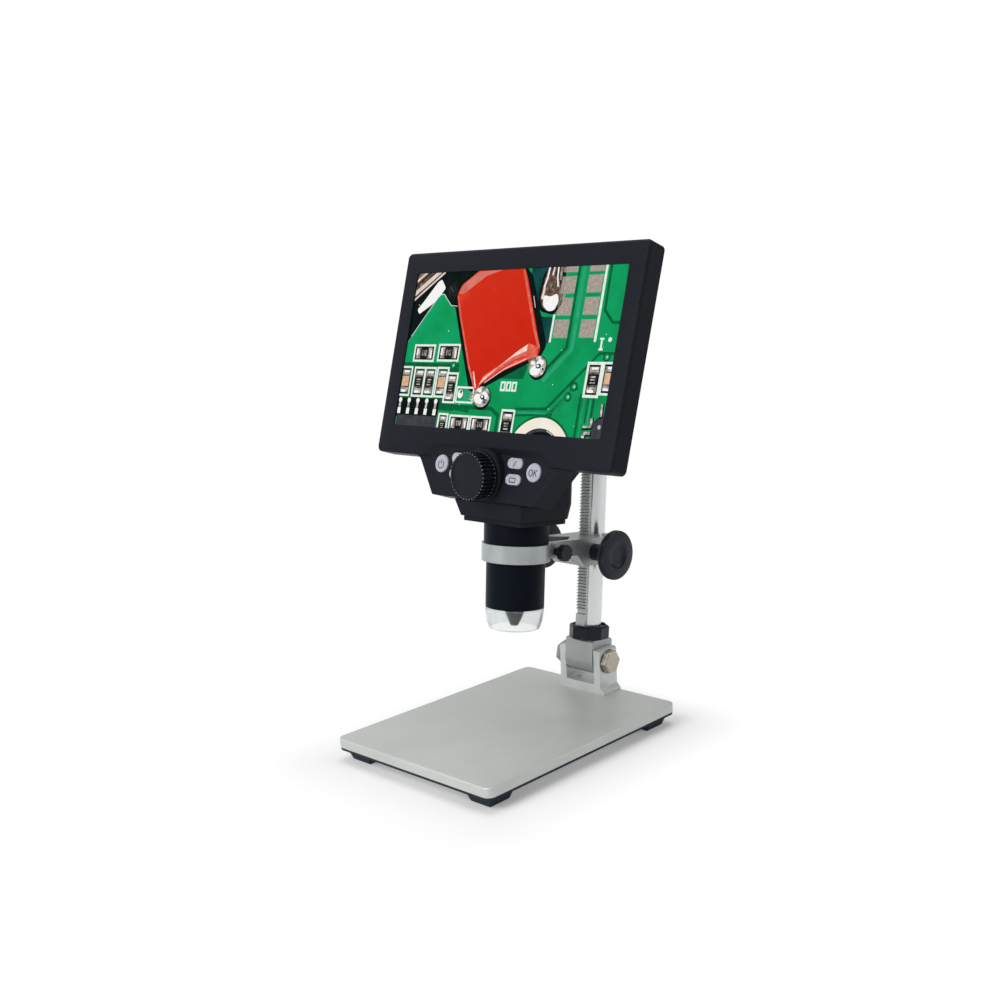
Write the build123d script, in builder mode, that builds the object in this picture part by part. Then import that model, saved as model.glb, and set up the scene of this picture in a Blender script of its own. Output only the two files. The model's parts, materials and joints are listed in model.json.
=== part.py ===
"""LCD digital microscope on a tilting rack-and-pinion stand. Millimetres, +Z up, front towards -Y.

The origin is on the table under the centre of the base plate. The column leans back about the tilt
bolt, so the column, the carriage and the microscope head are drawn in planes that lean with it.
"""
from build123d import *
from math import atan, cos, degrees, pi, radians, sin, tan
import os

os.makedirs("parts", exist_ok=True)

# ---- fits
running_fit = 0.05       # radial gap of a shaft that turns or slides in its hole
screw_fit = 0.1          # radial gap of a fastener in its hole
seat_gap = 0.1           # between flat faces that move on each other
key_gap = 0.2            # round a button in its hole

# ---- base plate and feet
plate_width = 122.0
plate_length = 158.0
plate_thickness = 5.5
plate_corner = 4.5
plate_edge = 0.7
foot_height = 8.5
foot_top = 20.0
foot_bottom = 14.0
foot_inset = 13.2
foot_edge = 0.6
foot_screw_radius = 2.0
foot_screw_head = 4.0
foot_screw_depth = 4.0   # thickness of the foot under the screw head
pan_head = 2.4

# ---- yoke and tilt bolt
yoke_width = 32.1
yoke_gap = 22.3
yoke_depth = 16.5
yoke_height = 27.7
yoke_floor = 6.0
yoke_flare = 2.8
yoke_flare_height = 4.0
yoke_chamfer = 1.2
yoke_from_edge = 0.2
hinge_above_plate = 19.75
yoke_screw_spacing = 14.0
yoke_screw_radius = 2.0
yoke_screw_head = 4.0
bolt_radius = 4.0
hex_flats = 13.0
hex_chamfer = 0.8
bolt_head = 5.3
bolt_seat_radius = 7.5
bolt_seat_depth = 1.5
washer_radius = 8.0
washer_thickness = 1.6
nut_thickness = 6.5
bolt_end = 1.2

# ---- tilt block, collar nut and column
lean = 6.0               # degrees back from upright, as stored
block_width = 21.7
block_radius = 9.3
block_top = 12.7         # heights in this section are above the tilt bolt
block_chamfer = 1.0
spigot_radius = 10.0
spigot_height = 6.5
collar_flats = 23.0
collar_height = 8.0
collar_chamfer = 1.0
collar_turn = -13.0
column_radius = 7.35
column_foot = 5.5
column_top = 163.0
column_chamfer = 0.8

# ---- rack and pinion of the height drive
rack_module = 0.6
rack_width = 7.0
rack_face = 9.13         # from the column's axis to the tips of the teeth
rack_back = 5.2
rack_plain = 16.9        # plain length at the rack's foot
rack_end = 3.0           # column left bare above the rack
pressure_angle = 20.0
tooth_backlash = 0.12
pinion_teeth = 12
pinion_width = 7.4
drive_above_bolt = 68.15
drive_shaft_radius = 2.5
bush_radius = 4.0
knob_radius = 14.6
knob_start = 26.0
knob_thickness = 4.2
knob_edge = 1.4
knob_dish_radius = 8.4
knob_dish_depth = 0.4
knob_hub_radius = 5.0

# ---- carriage arm and ring
reach = 67.0             # from the column's axis to the barrel's axis
arm_top = 76.75          # height of the ring's top above the tilt bolt
arm_height = 9.3
arm_half_width = 12.25
cheek = 3.5
block_height = 16.5
block_front = 46.2       # distances in this section are behind the barrel's axis
block_rear = 78.3
gusset_run = 7.0
ring_radius = 19.5
ring_height = 10.0
ring_slit = 3.0
arm_slit_end = 30.0
pocket_start = 19.0
pocket_end = 34.0
pocket_tip = 46.0
pocket_depth = 6.0
arm_edge = 0.8
clamp_y = 20.2
clamp_below_top = 5.5
clamp_radius = 1.9
clamp_neck_radius = 2.3
clamp_neck = 4.2
clamp_head_radius = 4.8
clamp_head_length = 7.9
clamp_flutes = 12
clamp_flute_radius = 0.8

# ---- barrel and hood; heights from here on are above the ring's top
lower_radius = 16.8
upper_radius = 18.4
barrel_wall = 1.8
upper_spigot_radius = 17.2
upper_spigot_rise = 1.4
lower_top = 8.0
lower_length = 44.8
hood_height = 12.2
hood_bottom_radius = 14.8
hood_wall = 2.0
hood_swell = 0.35        # how far the hood's side has come in at just over half its height
groove_width = 0.6       # shadow groove where the hood meets the barrel

# ---- sliding lens tube, lights and sensor
lens_travel_down = 2.5
lens_travel_up = 6.0
skirt_bottom = -30.0
skirt_top = -6.0
skirt_wall = 1.4
web = 2.0
tube_radius = 6.4
tube_bore = 4.2
cone_top = -38.0
cone_bottom = -45.5
cone_radius = 2.3
cone_bore = 1.3
lens_radius = 4.15
front_lens_height = -36.0
rear_lens_height = -14.0
lens_thickness = 2.0
lens_bulge = 0.6
led_seat = -34.2
led_board_thickness = 1.2
led_board_radius = 15.8
led_board_hole = 7.2
led_count = 8
led_circle = 11.5
led_radius = 1.5
led_height = 1.2
sensor_board_height = 50.6
sensor_board_thickness = 1.6
sensor_board_width = 36.0
sensor_board_depth = 22.4
sensor_board_front = -5.6
sensor_size = 8.0
sensor_thickness = 1.3

# ---- focus drive
focus_height = 38.5
focus_module = 0.5
focus_teeth = 12
focus_gear_width = 3.0
focus_gear_front = -6.8
focus_shaft_radius = 2.0
focus_rack_thickness = 3.4
wheel_radius = 12.85
wheel_length = 10.6
wheel_core = 11.9
wheel_flange = 1.3
wheel_rim = 1.1
wheel_ribs = 36
wheel_rib_width = 1.15
wheel_dish = 0.5
wheel_front_edge = 0.6
seat_face = -29.0        # front of the wheel's seat, from the barrel's axis
seat_radius = 14.6
seat_edge = 0.5
focus_bush_radius = 4.2
shaft_clearance = 0.8    # round the shaft where it passes boards and covers

# ---- screen housing; u, v and off are right, up and towards the viewer from the picture's centre
screen_tilt = 12.0       # degrees back from the column
panel_y = -27.6638       # of the picture's plane, at the height of the focus wheel
wheel_below_frame = 7.8834
bezel_width = 179.0
bezel_side = 11.3        # frame to the left and right of the window
bezel_above = 11.9       # frame above the window
bezel_below = 16.1       # frame below the window, down to the chin
bezel_corner = 3.0
bezel_chamfer = 1.2
bezel_face = 1.0
seam_off = -9.4
shell_wall = 2.0
window_height = 87.8
window_corner = 1.5
glass_lap = 1.8          # how far the glass reaches behind the frame
glass_thickness = 1.0
backlight_side = 2.5     # how far the backlight reaches past the glass
backlight_over = 4.2
backlight_thickness = 3.0
panel_off = -1.6
chin_tip_u = 53.0
chin_tip = 1.8           # heights on the chin are below the frame
chin_bottom_u = 38.8
chin_bottom = 21.1
chin_fillet = 6.0
chin_corner = 1.2
recess_top_u = 40.2
recess_below = 8.7       # from the window to the recess
recess_slope = 9.2 / 12.8
recess_run = 3.0
pilot_u = 45.5
pilot_below = 5.4
pilot_radius = 1.15
pilot_depth = 1.2

# ---- rear cover
cover_thickness = 2.2
cover_chamfer = 1.2
hump_depth = 8.0         # from the seam to the back of the hump
hump_from_side = 23.5
hump_from_top = 21.8
hump_from_bottom = 16.0
hump_cut = 8.0           # slanted corners at the top of the hump
hump_chamfer = 2.0
post_radius = 2.4
post_from_side = 4.3
post_from_top = 15.8
post_from_bottom = 20.0
chin_post_from_side = 4.8
chin_post_from_bottom = 4.5
case_screw_radius = 1.2
case_screw_head = 2.1
case_screw_head_depth = 1.5
case_screw_length = 6.0

# ---- boards and battery
board_thickness = 1.6
board_gap = 0.6          # from the main board's end to the hump's wall
board_from_top = 2.0
board_from_bottom = 8.0
main_board_off = -9.8
key_board_overhang = 2.2 # past the chin's narrow end, at each side
key_board_height = 17.0
key_board_gap = 0.5      # above the screw posts
key_board_off = -7.0
switch_size = 5.0
battery_width = 40.0
battery_thickness = 5.2
battery_gap = 1.5        # from the battery to the hump's wall
battery_to_board = 3.9
usb_width = 7.6
usb_depth = 5.6
usb_thickness = 2.7
usb_v = 10.0
usb_wall = 0.4
card_width = 14.0
card_depth = 14.0
card_thickness = 1.9
card_v = -12.0
card_slit = 1.0

# ---- buttons
key_travel = 0.5
key_rise = 0.8
round_key_radius = 5.0
pill_length = 10.9
pill_width = 5.8
key_edge = 0.35
key_flange = 0.8         # how far the flange under the panel stands out
key_flange_thickness = 0.8
key_places = {
    "power_button": (-34.6, 3.4),
    "ok_button": (35.7, 3.4),
    "upper_left_button": (-21.5, -0.5),
    "lower_left_button": (-21.8, 8.2),
    "upper_right_button": (21.5, -0.5),
    "lower_right_button": (21.8, 8.2),
}                        # to the right of the middle, and below the frame
round_keys = ("power_button", "ok_button")

# ---- neck
neck_half_width = 26.0
neck_front = 23.7
neck_rear = 20.8
neck_rear_corner = 7.0
neck_front_corner = 1.0
neck_taper = 2.4
neck_bottom = 14.5
neck_full = 23.0
neck_top = 57.0
neck_wall = 2.0
neck_roof_edge = 3.0
base_bottom = 11.7
base_inset = 1.2
base_lip = 1.5

# ---- worked out from the sizes above
bezel_up = window_height / 2 + bezel_above
bezel_down = window_height / 2 + bezel_below
screen_y = panel_y + (bezel_down + wheel_below_frame) * sin(radians(screen_tilt))
screen_height = focus_height + (bezel_down + wheel_below_frame) * cos(radians(screen_tilt))
chin_tip_v = -bezel_down - chin_tip
chin_bottom_v = -bezel_down - chin_bottom
recess_top_v = -window_height / 2 - recess_below
window_width = bezel_width - 2 * bezel_side
glass_width = window_width + 2 * glass_lap
glass_height = window_height + 2 * glass_lap
backlight_width = glass_width + 2 * backlight_side
backlight_height = glass_height + 2 * backlight_over
hump_half_width = bezel_width / 2 - hump_from_side
hump_top = bezel_up - hump_from_top
hump_top_half = hump_half_width - hump_cut
hump_side_high = hump_top - hump_cut
hump_side_low = hump_from_bottom - bezel_down
battery_u = hump_half_width - shell_wall - battery_gap - battery_width / 2
main_board_left = board_gap + shell_wall - hump_half_width
main_board_right = battery_u - battery_width / 2 - battery_to_board
main_board_width = main_board_right - main_board_left
main_board_u = (main_board_left + main_board_right) / 2
main_board_height = hump_side_high - board_from_top - hump_side_low - board_from_bottom
main_board_v = hump_side_high - board_from_top - main_board_height / 2
post_u = bezel_width / 2 - post_from_side
post_low_v = post_from_bottom - bezel_down
post_high_v = bezel_up - post_from_top
chin_post_u = chin_bottom_u - chin_post_from_side
chin_post_v = chin_bottom_v + chin_post_from_bottom
key_board_width = 2 * (chin_bottom_u + key_board_overhang)
key_board_v = chin_post_v + post_radius + key_board_gap + key_board_height / 2
plate_top = foot_height + plate_thickness
hinge_y = plate_length / 2 - yoke_from_edge - yoke_depth / 2
hinge_z = plate_top + hinge_above_plate
foot_x = plate_width / 2 - foot_inset
foot_y = plate_length / 2 - foot_inset
upper_top = neck_bottom + base_lip + upper_spigot_rise
rack_pitch = pi * rack_module
rack_tooth = 2.25 * rack_module
pitch_radius = rack_module * pinion_teeth / 2
drive_ahead = rack_face - rack_module + pitch_radius
rack_start = block_top
rack_top = column_top - rack_end
focus_pitch_radius = focus_module * focus_teeth / 2
collar_bottom = block_top + 2 * seat_gap
ring_bore = lower_radius + running_fit
panel_floor = panel_off - shell_wall
front_wall_back = bezel_face - shell_wall
hump_off = seam_off - hump_depth
hump_floor = hump_off + shell_wall
wheel_back = seat_face - 2 * seat_gap
key_flange_top = panel_floor - seat_gap
chin_slope = (chin_tip_u - chin_bottom_u) / (chin_tip_v - chin_bottom_v)
chin_join_u = chin_tip_u - chin_slope * (chin_tip_v + bezel_down)
switch_top = key_flange_top - key_flange_thickness - key_travel - seat_gap

# ---- the planes that the leaning pieces are drawn on
stand = Plane(
    origin=(0, hinge_y, hinge_z),
    x_dir=(1, 0, 0),
    z_dir=(0, sin(radians(lean)), cos(radians(lean))),
)


def at(plane, x=0, y=0, z=0):
    """A plane parallel to another, at a place given in that plane's own coordinates."""
    return Plane(origin=plane.from_local_coords((x, y, z)), x_dir=plane.x_dir, z_dir=plane.z_dir)


def facing_right(plane, x=0, y=0, z=0):
    """A plane for side views: sketches run rearward and up, and are extruded to the right."""
    return Plane(origin=plane.from_local_coords((x, y, z)), x_dir=plane.y_dir, z_dir=plane.x_dir)


def facing_front(plane, x=0, y=0, z=0):
    """A plane for front views: sketches run right and up, and are extruded to the front."""
    return Plane(origin=plane.from_local_coords((x, y, z)), x_dir=plane.x_dir, z_dir=plane.y_dir * -1)


upright = Plane(origin=(0, hinge_y, hinge_z), x_dir=(1, 0, 0), z_dir=(0, 0, 1))
head = at(stand, y=-reach, z=arm_top)
screen = Plane(
    origin=head.from_local_coords((0, screen_y, screen_height)),
    x_dir=(1, 0, 0),
    z_dir=(0, -cos(radians(lean + screen_tilt)), sin(radians(lean + screen_tilt))),
)


def save(part, name):
    """Label a finished piece and write its STEP file."""
    part.label = name
    export_step(part, f"parts/{name}.step")


# =========================================================================== base
with BuildPart() as base_plate:
    with BuildSketch(Plane.XY.offset(foot_height)):
        RectangleRounded(plate_width, plate_length, plate_corner)
    extrude(amount=plate_thickness)
    fillet(base_plate.faces().sort_by(Axis.Z)[-1].edges(), plate_edge)
    with BuildSketch(Plane.XY.offset(foot_height)):
        with GridLocations(2 * foot_x, 2 * foot_y, 2, 2):
            Circle(foot_screw_radius + screw_fit)
    extrude(amount=foot_screw_depth, mode=Mode.SUBTRACT)
    with BuildSketch(Plane.XY.offset(foot_height)):
        with Locations((0, hinge_y)):
            with GridLocations(yoke_screw_spacing, 0, 2, 1):
                Circle(yoke_screw_radius + screw_fit)
    extrude(amount=plate_thickness, mode=Mode.SUBTRACT)
    with BuildSketch(Plane.XY.offset(foot_height)):
        with Locations((0, hinge_y)):
            with GridLocations(yoke_screw_spacing, 0, 2, 1):
                Circle(yoke_screw_head + screw_fit)
    extrude(amount=yoke_screw_head - yoke_screw_radius, taper=45, mode=Mode.SUBTRACT)
save(base_plate.part, "base_plate")

foot_corners = {
    "foot_front_left": (-foot_x, -foot_y),
    "foot_front_right": (foot_x, -foot_y),
    "foot_rear_left": (-foot_x, foot_y),
    "foot_rear_right": (foot_x, foot_y),
}
foot_screw_seat = foot_height - foot_screw_depth
for foot_name, (x, y) in foot_corners.items():
    with BuildPart() as foot:
        with BuildSketch(Plane.XY):
            with Locations((x, y)):
                Rectangle(foot_bottom, foot_bottom)
        with BuildSketch(Plane.XY.offset(foot_height)):
            with Locations((x, y)):
                Rectangle(foot_top, foot_top)
        loft(ruled=True)
        chamfer(foot.edges().filter_by(Axis.Z, reverse=True).group_by(Axis.Z)[0], foot_edge)
        with BuildSketch(Plane.XY):
            with Locations((x, y)):
                Circle(foot_screw_radius + screw_fit)
        extrude(amount=foot_height, mode=Mode.SUBTRACT)
        with BuildSketch(Plane.XY):
            with Locations((x, y)):
                Circle(foot_screw_head + screw_fit)
        extrude(amount=foot_screw_seat, mode=Mode.SUBTRACT)
    save(foot.part, foot_name)

with BuildPart() as foot_screws:
    with BuildSketch(Plane.XY.offset(foot_screw_seat - pan_head)):
        with GridLocations(2 * foot_x, 2 * foot_y, 2, 2):
            Circle(foot_screw_head)
    extrude(amount=pan_head)
    chamfer(foot_screws.edges().group_by(Axis.Z)[0], pan_head / 3)
    with BuildSketch(Plane.XY.offset(foot_screw_seat)):
        with GridLocations(2 * foot_x, 2 * foot_y, 2, 2):
            Circle(foot_screw_radius)
    extrude(amount=2 * foot_screw_depth - running_fit)
save(foot_screws.part, "foot_screws")

# ---- yoke: one extruded channel, seen from the front
with BuildPart() as yoke:
    half = yoke_width / 2
    half_gap = yoke_gap / 2
    with BuildSketch(facing_front(upright, z=-hinge_above_plate)):
        with BuildLine():
            Polyline(
                (0, 0),
                (half + yoke_flare, 0),
                (half + yoke_flare, yoke_flare_height / 3),
                (half, yoke_flare_height),
                (half, yoke_height - yoke_chamfer),
                (half - yoke_chamfer, yoke_height),
                (half_gap, yoke_height),
                (half_gap, yoke_floor),
                (0, yoke_floor),
                (0, 0),
            )
        make_face()
        mirror(about=Plane.YZ)
    extrude(amount=yoke_depth / 2, both=True)
    with BuildSketch(facing_right(upright, x=-yoke_width)):
        Circle(bolt_radius + screw_fit)
    extrude(amount=2 * yoke_width, mode=Mode.SUBTRACT)
    with BuildSketch(facing_right(upright, x=half - bolt_seat_depth)):
        Circle(bolt_seat_radius)
    extrude(amount=yoke_width, mode=Mode.SUBTRACT)
    with BuildSketch(at(upright, z=-hinge_above_plate)):
        with GridLocations(yoke_screw_spacing, 0, 2, 1):
            Circle(yoke_screw_radius + screw_fit)
    extrude(amount=yoke_floor, mode=Mode.SUBTRACT)
save(yoke.part, "yoke")

with BuildPart() as yoke_screws:
    with BuildSketch(at(upright, z=-hinge_above_plate - plate_thickness)):
        with GridLocations(yoke_screw_spacing, 0, 2, 1):
            Circle(yoke_screw_head)
    extrude(amount=yoke_screw_head - yoke_screw_radius, taper=45)
    with BuildSketch(at(upright, z=-hinge_above_plate - plate_thickness)):
        with GridLocations(yoke_screw_spacing, 0, 2, 1):
            Circle(yoke_screw_radius)
    extrude(amount=plate_thickness + yoke_floor - bolt_end)
save(yoke_screws.part, "yoke_screws")

bolt_seat_x = yoke_width / 2 - bolt_seat_depth
nut_x = -yoke_width / 2 - washer_thickness

with BuildPart() as tilt_bolt:
    with BuildSketch(facing_right(upright, x=bolt_seat_x)):
        RegularPolygon(hex_flats / 2, 6, major_radius=False)
    extrude(amount=bolt_head)
    chamfer(tilt_bolt.faces().sort_by(Axis.X)[-1].edges(), hex_chamfer / 2, hex_chamfer)
    with BuildSketch(facing_right(upright, x=nut_x - nut_thickness - bolt_end)):
        Circle(bolt_radius)
    extrude(amount=bolt_seat_x - nut_x + nut_thickness + bolt_end)
    chamfer(tilt_bolt.faces().sort_by(Axis.X)[0].edges(), hex_chamfer)
save(tilt_bolt.part, "tilt_bolt")

with BuildPart() as tilt_washer:
    with BuildSketch(facing_right(upright, x=nut_x)):
        Circle(washer_radius)
        Circle(bolt_radius + screw_fit, mode=Mode.SUBTRACT)
    extrude(amount=washer_thickness)
save(tilt_washer.part, "tilt_washer")

with BuildPart() as tilt_nut:
    with BuildSketch(facing_right(upright, x=nut_x - nut_thickness)):
        RegularPolygon(hex_flats / 2, 6, major_radius=False, rotation=15)
        Circle(bolt_radius + screw_fit, mode=Mode.SUBTRACT)
    extrude(amount=nut_thickness)
    chamfer(tilt_nut.faces().sort_by(Axis.X)[0].outer_wire().edges(), hex_chamfer / 2, hex_chamfer)
save(tilt_nut.part, "tilt_nut")

# =========================================================================== column
with BuildPart() as tilt_block:
    with BuildSketch(facing_right(stand, x=-block_width / 2)):
        with BuildLine():
            Polyline(
                (-block_radius, 0),
                (-block_radius, block_top - block_chamfer),
                (-block_radius + block_chamfer, block_top),
                (block_radius - block_chamfer, block_top),
                (block_radius, block_top - block_chamfer),
                (block_radius, 0),
            )
            ThreePointArc((block_radius, 0), (0, -block_radius), (-block_radius, 0))
        make_face()
    extrude(amount=block_width)
    with BuildSketch(at(stand, z=block_top)):
        Circle(spigot_radius)
    extrude(amount=spigot_height)
    with BuildSketch(at(stand, z=column_foot)):
        Circle(column_radius + screw_fit)
    extrude(amount=block_top + spigot_height, mode=Mode.SUBTRACT)
    with BuildSketch(at(stand, y=-spigot_radius, z=block_top)):
        Rectangle(rack_width + 2 * screw_fit, 2 * (spigot_radius - rack_back))
    extrude(amount=spigot_height, mode=Mode.SUBTRACT)
    with BuildSketch(facing_right(stand, x=-block_width / 2)):
        Circle(bolt_radius + running_fit)
    extrude(amount=block_width, mode=Mode.SUBTRACT)
save(tilt_block.part, "tilt_block")

with BuildPart() as column:
    with BuildSketch(at(stand, z=column_foot)):
        Circle(column_radius)
    extrude(amount=column_top - column_foot)
    chamfer(column.faces().sort_by(Axis.Z)[-1].edges(), column_chamfer)
    with BuildSketch(at(stand, y=-column_radius, z=rack_start)):
        Rectangle(rack_width, 2 * (column_radius - rack_back))
    extrude(amount=column_top, mode=Mode.SUBTRACT)
save(column.part, "column")


def rack_tooth_points(tip, root, centre, module, thinning):
    """One rack tooth as four points, root to root, with its tip at `tip` and its root at `root`."""
    height = 2.25 * module
    slope = tan(radians(pressure_angle))
    half_tip = pi * module / 4 - module * slope - thinning / 2
    half_root = half_tip + height * slope
    return [
        (root, centre - half_root),
        (tip, centre - half_tip),
        (tip, centre + half_tip),
        (root, centre + half_root),
    ]


# the first tooth stands half a pitch above a gap that is level with the pinion
teeth_below = int((drive_above_bolt - rack_start - rack_plain) / rack_pitch - 0.5)
teeth_above = int((rack_top - drive_above_bolt) / rack_pitch - 0.5)
with BuildPart() as rack:
    with BuildSketch(facing_right(stand, x=-rack_width / 2)):
        with BuildLine():
            outline = [(-rack_back, rack_start), (-rack_face, rack_start)]
            outline += [(-rack_face, rack_start + rack_plain - rack_tooth)]
            outline += [(rack_tooth - rack_face, rack_start + rack_plain - rack_tooth)]
            for step in range(-teeth_below, teeth_above + 1):
                centre = drive_above_bolt + (step - 0.5) * rack_pitch
                outline += rack_tooth_points(
                    -rack_face, rack_tooth - rack_face, centre, rack_module, tooth_backlash
                )
            outline += [(rack_tooth - rack_face, rack_top), (-rack_back, rack_top)]
            Polyline(*outline, close=True)
        make_face()
    extrude(amount=rack_width)
save(rack.part, "rack")

with BuildPart() as collar_nut:
    with BuildSketch(at(stand, z=collar_bottom)):
        RegularPolygon(collar_flats / 2, 8, major_radius=False, rotation=collar_turn)
        Circle(spigot_radius + running_fit, mode=Mode.SUBTRACT)
    extrude(amount=collar_height)
    top_face = collar_nut.faces().sort_by(Axis(stand.origin, stand.z_dir))[-1]
    chamfer(top_face.outer_wire().edges(), collar_chamfer)
save(collar_nut.part, "collar_nut")

# =========================================================================== carriage
drive_y = reach - drive_ahead
drive_z = drive_above_bolt - arm_top
pinion_space = pitch_radius + rack_module + 2 * seat_gap + running_fit
with BuildPart() as carriage_arm:
    with BuildSketch(facing_right(head, x=-arm_half_width)):
        with BuildLine():
            Polyline(
                (pocket_start - ring_radius / 4, 0),
                (block_rear, 0),
                (block_rear, -block_height),
                (block_front, -block_height),
                (block_front - gusset_run, -arm_height),
                (pocket_start - ring_radius / 4, -arm_height),
                (pocket_start - ring_radius / 4, 0),
            )
        make_face()
    extrude(amount=2 * arm_half_width)
    rear_edges = carriage_arm.faces().sort_by(Axis(head.origin, head.y_dir))[-1].edges()
    fillet(rear_edges.filter_by(Axis(head.origin, head.z_dir)), 4 * arm_edge)
    with BuildSketch(at(head, z=-ring_height)):
        Circle(ring_radius)
    extrude(amount=ring_height)
    with BuildSketch(at(head, z=-block_height)):
        Circle(ring_bore)
        with Locations((0, reach)):
            Circle(column_radius + running_fit)
            with Locations((0, -column_radius)):
                Rectangle(rack_width + 4 * running_fit, 2 * (rack_face - column_radius + 2 * running_fit))
        with Locations((0, pocket_start)):
            Rectangle(ring_slit, 2 * (pocket_start - ring_bore) + ring_slit)
        with Locations((0, (pocket_start + arm_slit_end) / 2)):
            Rectangle(ring_slit, arm_slit_end - pocket_start)
    extrude(amount=block_height, mode=Mode.SUBTRACT)
    inner = arm_half_width - cheek
    with BuildSketch(at(head, z=-pocket_depth)):
        with BuildLine():
            Polyline((-inner, pocket_start), (-inner, pocket_end), (0, pocket_tip), (inner, pocket_end))
            Line((inner, pocket_end), (inner, pocket_start))
            Line((inner, pocket_start), (-inner, pocket_start))
        make_face()
        Circle(ring_radius, mode=Mode.SUBTRACT)
    extrude(amount=pocket_depth, mode=Mode.SUBTRACT)
    with BuildSketch(facing_right(head, x=-pinion_width / 2 - seat_gap)):
        with Locations((drive_y, drive_z)):
            Circle(pinion_space)
    extrude(amount=pinion_width + 2 * seat_gap, mode=Mode.SUBTRACT)
    with BuildSketch(facing_right(head, x=-arm_half_width)):
        with Locations((drive_y, drive_z)):
            Circle(drive_shaft_radius + screw_fit)
    extrude(amount=2 * arm_half_width, mode=Mode.SUBTRACT)
    for side in (-1, 1):
        with BuildSketch(facing_right(head, x=side * (arm_half_width - cheek / 2))):
            with Locations((drive_y, drive_z)):
                Circle(bush_radius)
        extrude(amount=cheek / 2, both=True, mode=Mode.SUBTRACT)
    with BuildSketch(facing_right(head, x=-arm_half_width)):
        with Locations((clamp_y, -clamp_below_top)):
            Circle(clamp_radius + running_fit)
    extrude(amount=2 * arm_half_width, mode=Mode.SUBTRACT)
save(carriage_arm.part, "carriage_arm")

with BuildPart() as shaft_bushes:
    for side in (-1, 1):
        with BuildSketch(facing_right(head, x=side * (arm_half_width - cheek / 2))):
            with Locations((drive_y, drive_z)):
                Circle(bush_radius)
                Circle(drive_shaft_radius + running_fit, mode=Mode.SUBTRACT)
        extrude(amount=cheek / 2, both=True)
save(shaft_bushes.part, "shaft_bushes")

with BuildPart() as pinion_shaft:
    with BuildSketch(facing_right(head, x=-knob_start)):
        with Locations((drive_y, drive_z)):
            Circle(drive_shaft_radius)
    extrude(amount=2 * knob_start)
    chamfer(pinion_shaft.edges().filter_by(GeomType.CIRCLE), running_fit * 6)
save(pinion_shaft.part, "pinion_shaft")


def gear_outline(teeth, module, thinning, first_angle):
    """Outline of a small pinion: each tooth is thinned towards its root, as a cut one is."""
    pitch = module * teeth / 2
    root = pitch - 1.25 * module
    tip = pitch + module
    half_pitch = (pi * module / 2 - thinning) / 2
    half_tip = half_pitch - 0.55 * module
    half_root = half_pitch + 0.02 * module
    points = []
    for tooth in range(teeth):
        middle = radians(first_angle) + 2 * pi * tooth / teeth
        for radius, half in ((root, -half_root), (pitch, -half_pitch), (tip, -half_tip),
                             (tip, half_tip), (pitch, half_pitch), (root, half_root)):
            angle = middle + half / radius
            points.append((radius * cos(angle), radius * sin(angle)))
    Polyline(*points, close=True)


with BuildPart() as height_pinion:
    with BuildSketch(facing_right(head, x=-pinion_width / 2, y=drive_y, z=drive_z)):
        with BuildLine():
            gear_outline(pinion_teeth, rack_module, tooth_backlash, 0)
        make_face()
        Circle(drive_shaft_radius, mode=Mode.SUBTRACT)
    extrude(amount=pinion_width)
save(height_pinion.part, "height_pinion")


def knob_section():
    """Half section of a knob: a hub against the arm and a thin disc with a rounded rim."""
    start = arm_half_width + seat_gap
    face = knob_start + knob_thickness
    with BuildSketch() as section:
        with BuildLine():
            Polyline(
                (0, start),
                (knob_hub_radius, start),
                (knob_hub_radius, knob_start),
                (knob_radius, knob_start),
                (knob_radius, face),
                (knob_dish_radius, face),
                (knob_dish_radius - knob_dish_depth, face - knob_dish_depth),
                (0, face - knob_dish_depth),
                close=True,
            )
        make_face()
        fillet(section.vertices().group_by(Axis.X)[-1], knob_edge)
    return section.sketch


drive = facing_right(head, y=drive_y, z=drive_z)
for knob_name, turn in (("right_height_knob", 1), ("left_height_knob", -1)):
    outward = Plane(origin=drive.origin, x_dir=drive.x_dir, z_dir=drive.z_dir * turn)
    with BuildPart() as knob:
        with BuildSketch(Plane(origin=drive.origin, x_dir=drive.x_dir, z_dir=-outward.y_dir)):
            add(knob_section())
        revolve(axis=Axis(outward.origin, outward.z_dir))
        with BuildSketch(outward):
            Circle(drive_shaft_radius)
        extrude(amount=knob_start, mode=Mode.SUBTRACT)
    save(knob.part, knob_name)

with BuildPart() as clamp_screw:
    with BuildSketch(facing_right(head, x=-arm_half_width)):
        with Locations((clamp_y, -clamp_below_top)):
            Circle(clamp_radius)
    extrude(amount=2 * arm_half_width + clamp_neck)
    with BuildSketch(facing_right(head, x=arm_half_width + seat_gap)):
        with Locations((clamp_y, -clamp_below_top)):
            Circle(clamp_neck_radius)
    extrude(amount=clamp_neck)
    with BuildSketch(facing_right(head, x=arm_half_width + clamp_neck)):
        with Locations((clamp_y, -clamp_below_top)):
            Circle(clamp_head_radius)
            with PolarLocations(clamp_head_radius + clamp_flute_radius / 3, clamp_flutes):
                Circle(clamp_flute_radius, mode=Mode.SUBTRACT)
    extrude(amount=clamp_head_length)
save(clamp_screw.part, "clamp_screw")

# =========================================================================== optical tube
with BuildPart() as upper_barrel:
    with BuildSketch(at(head, z=seat_gap)):
        Circle(upper_radius)
    extrude(amount=base_bottom - seat_gap)
    with BuildSketch(at(head, z=base_bottom)):
        Circle(upper_spigot_radius)
    extrude(amount=upper_top - base_bottom)
    with BuildSketch(at(head)):
        Circle(lower_radius)
    extrude(amount=lower_top, mode=Mode.SUBTRACT)
    with BuildSketch(at(head, z=lower_top)):
        Circle(lower_radius - barrel_wall)
    extrude(amount=upper_top, mode=Mode.SUBTRACT)
save(upper_barrel.part, "upper_barrel")

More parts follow.
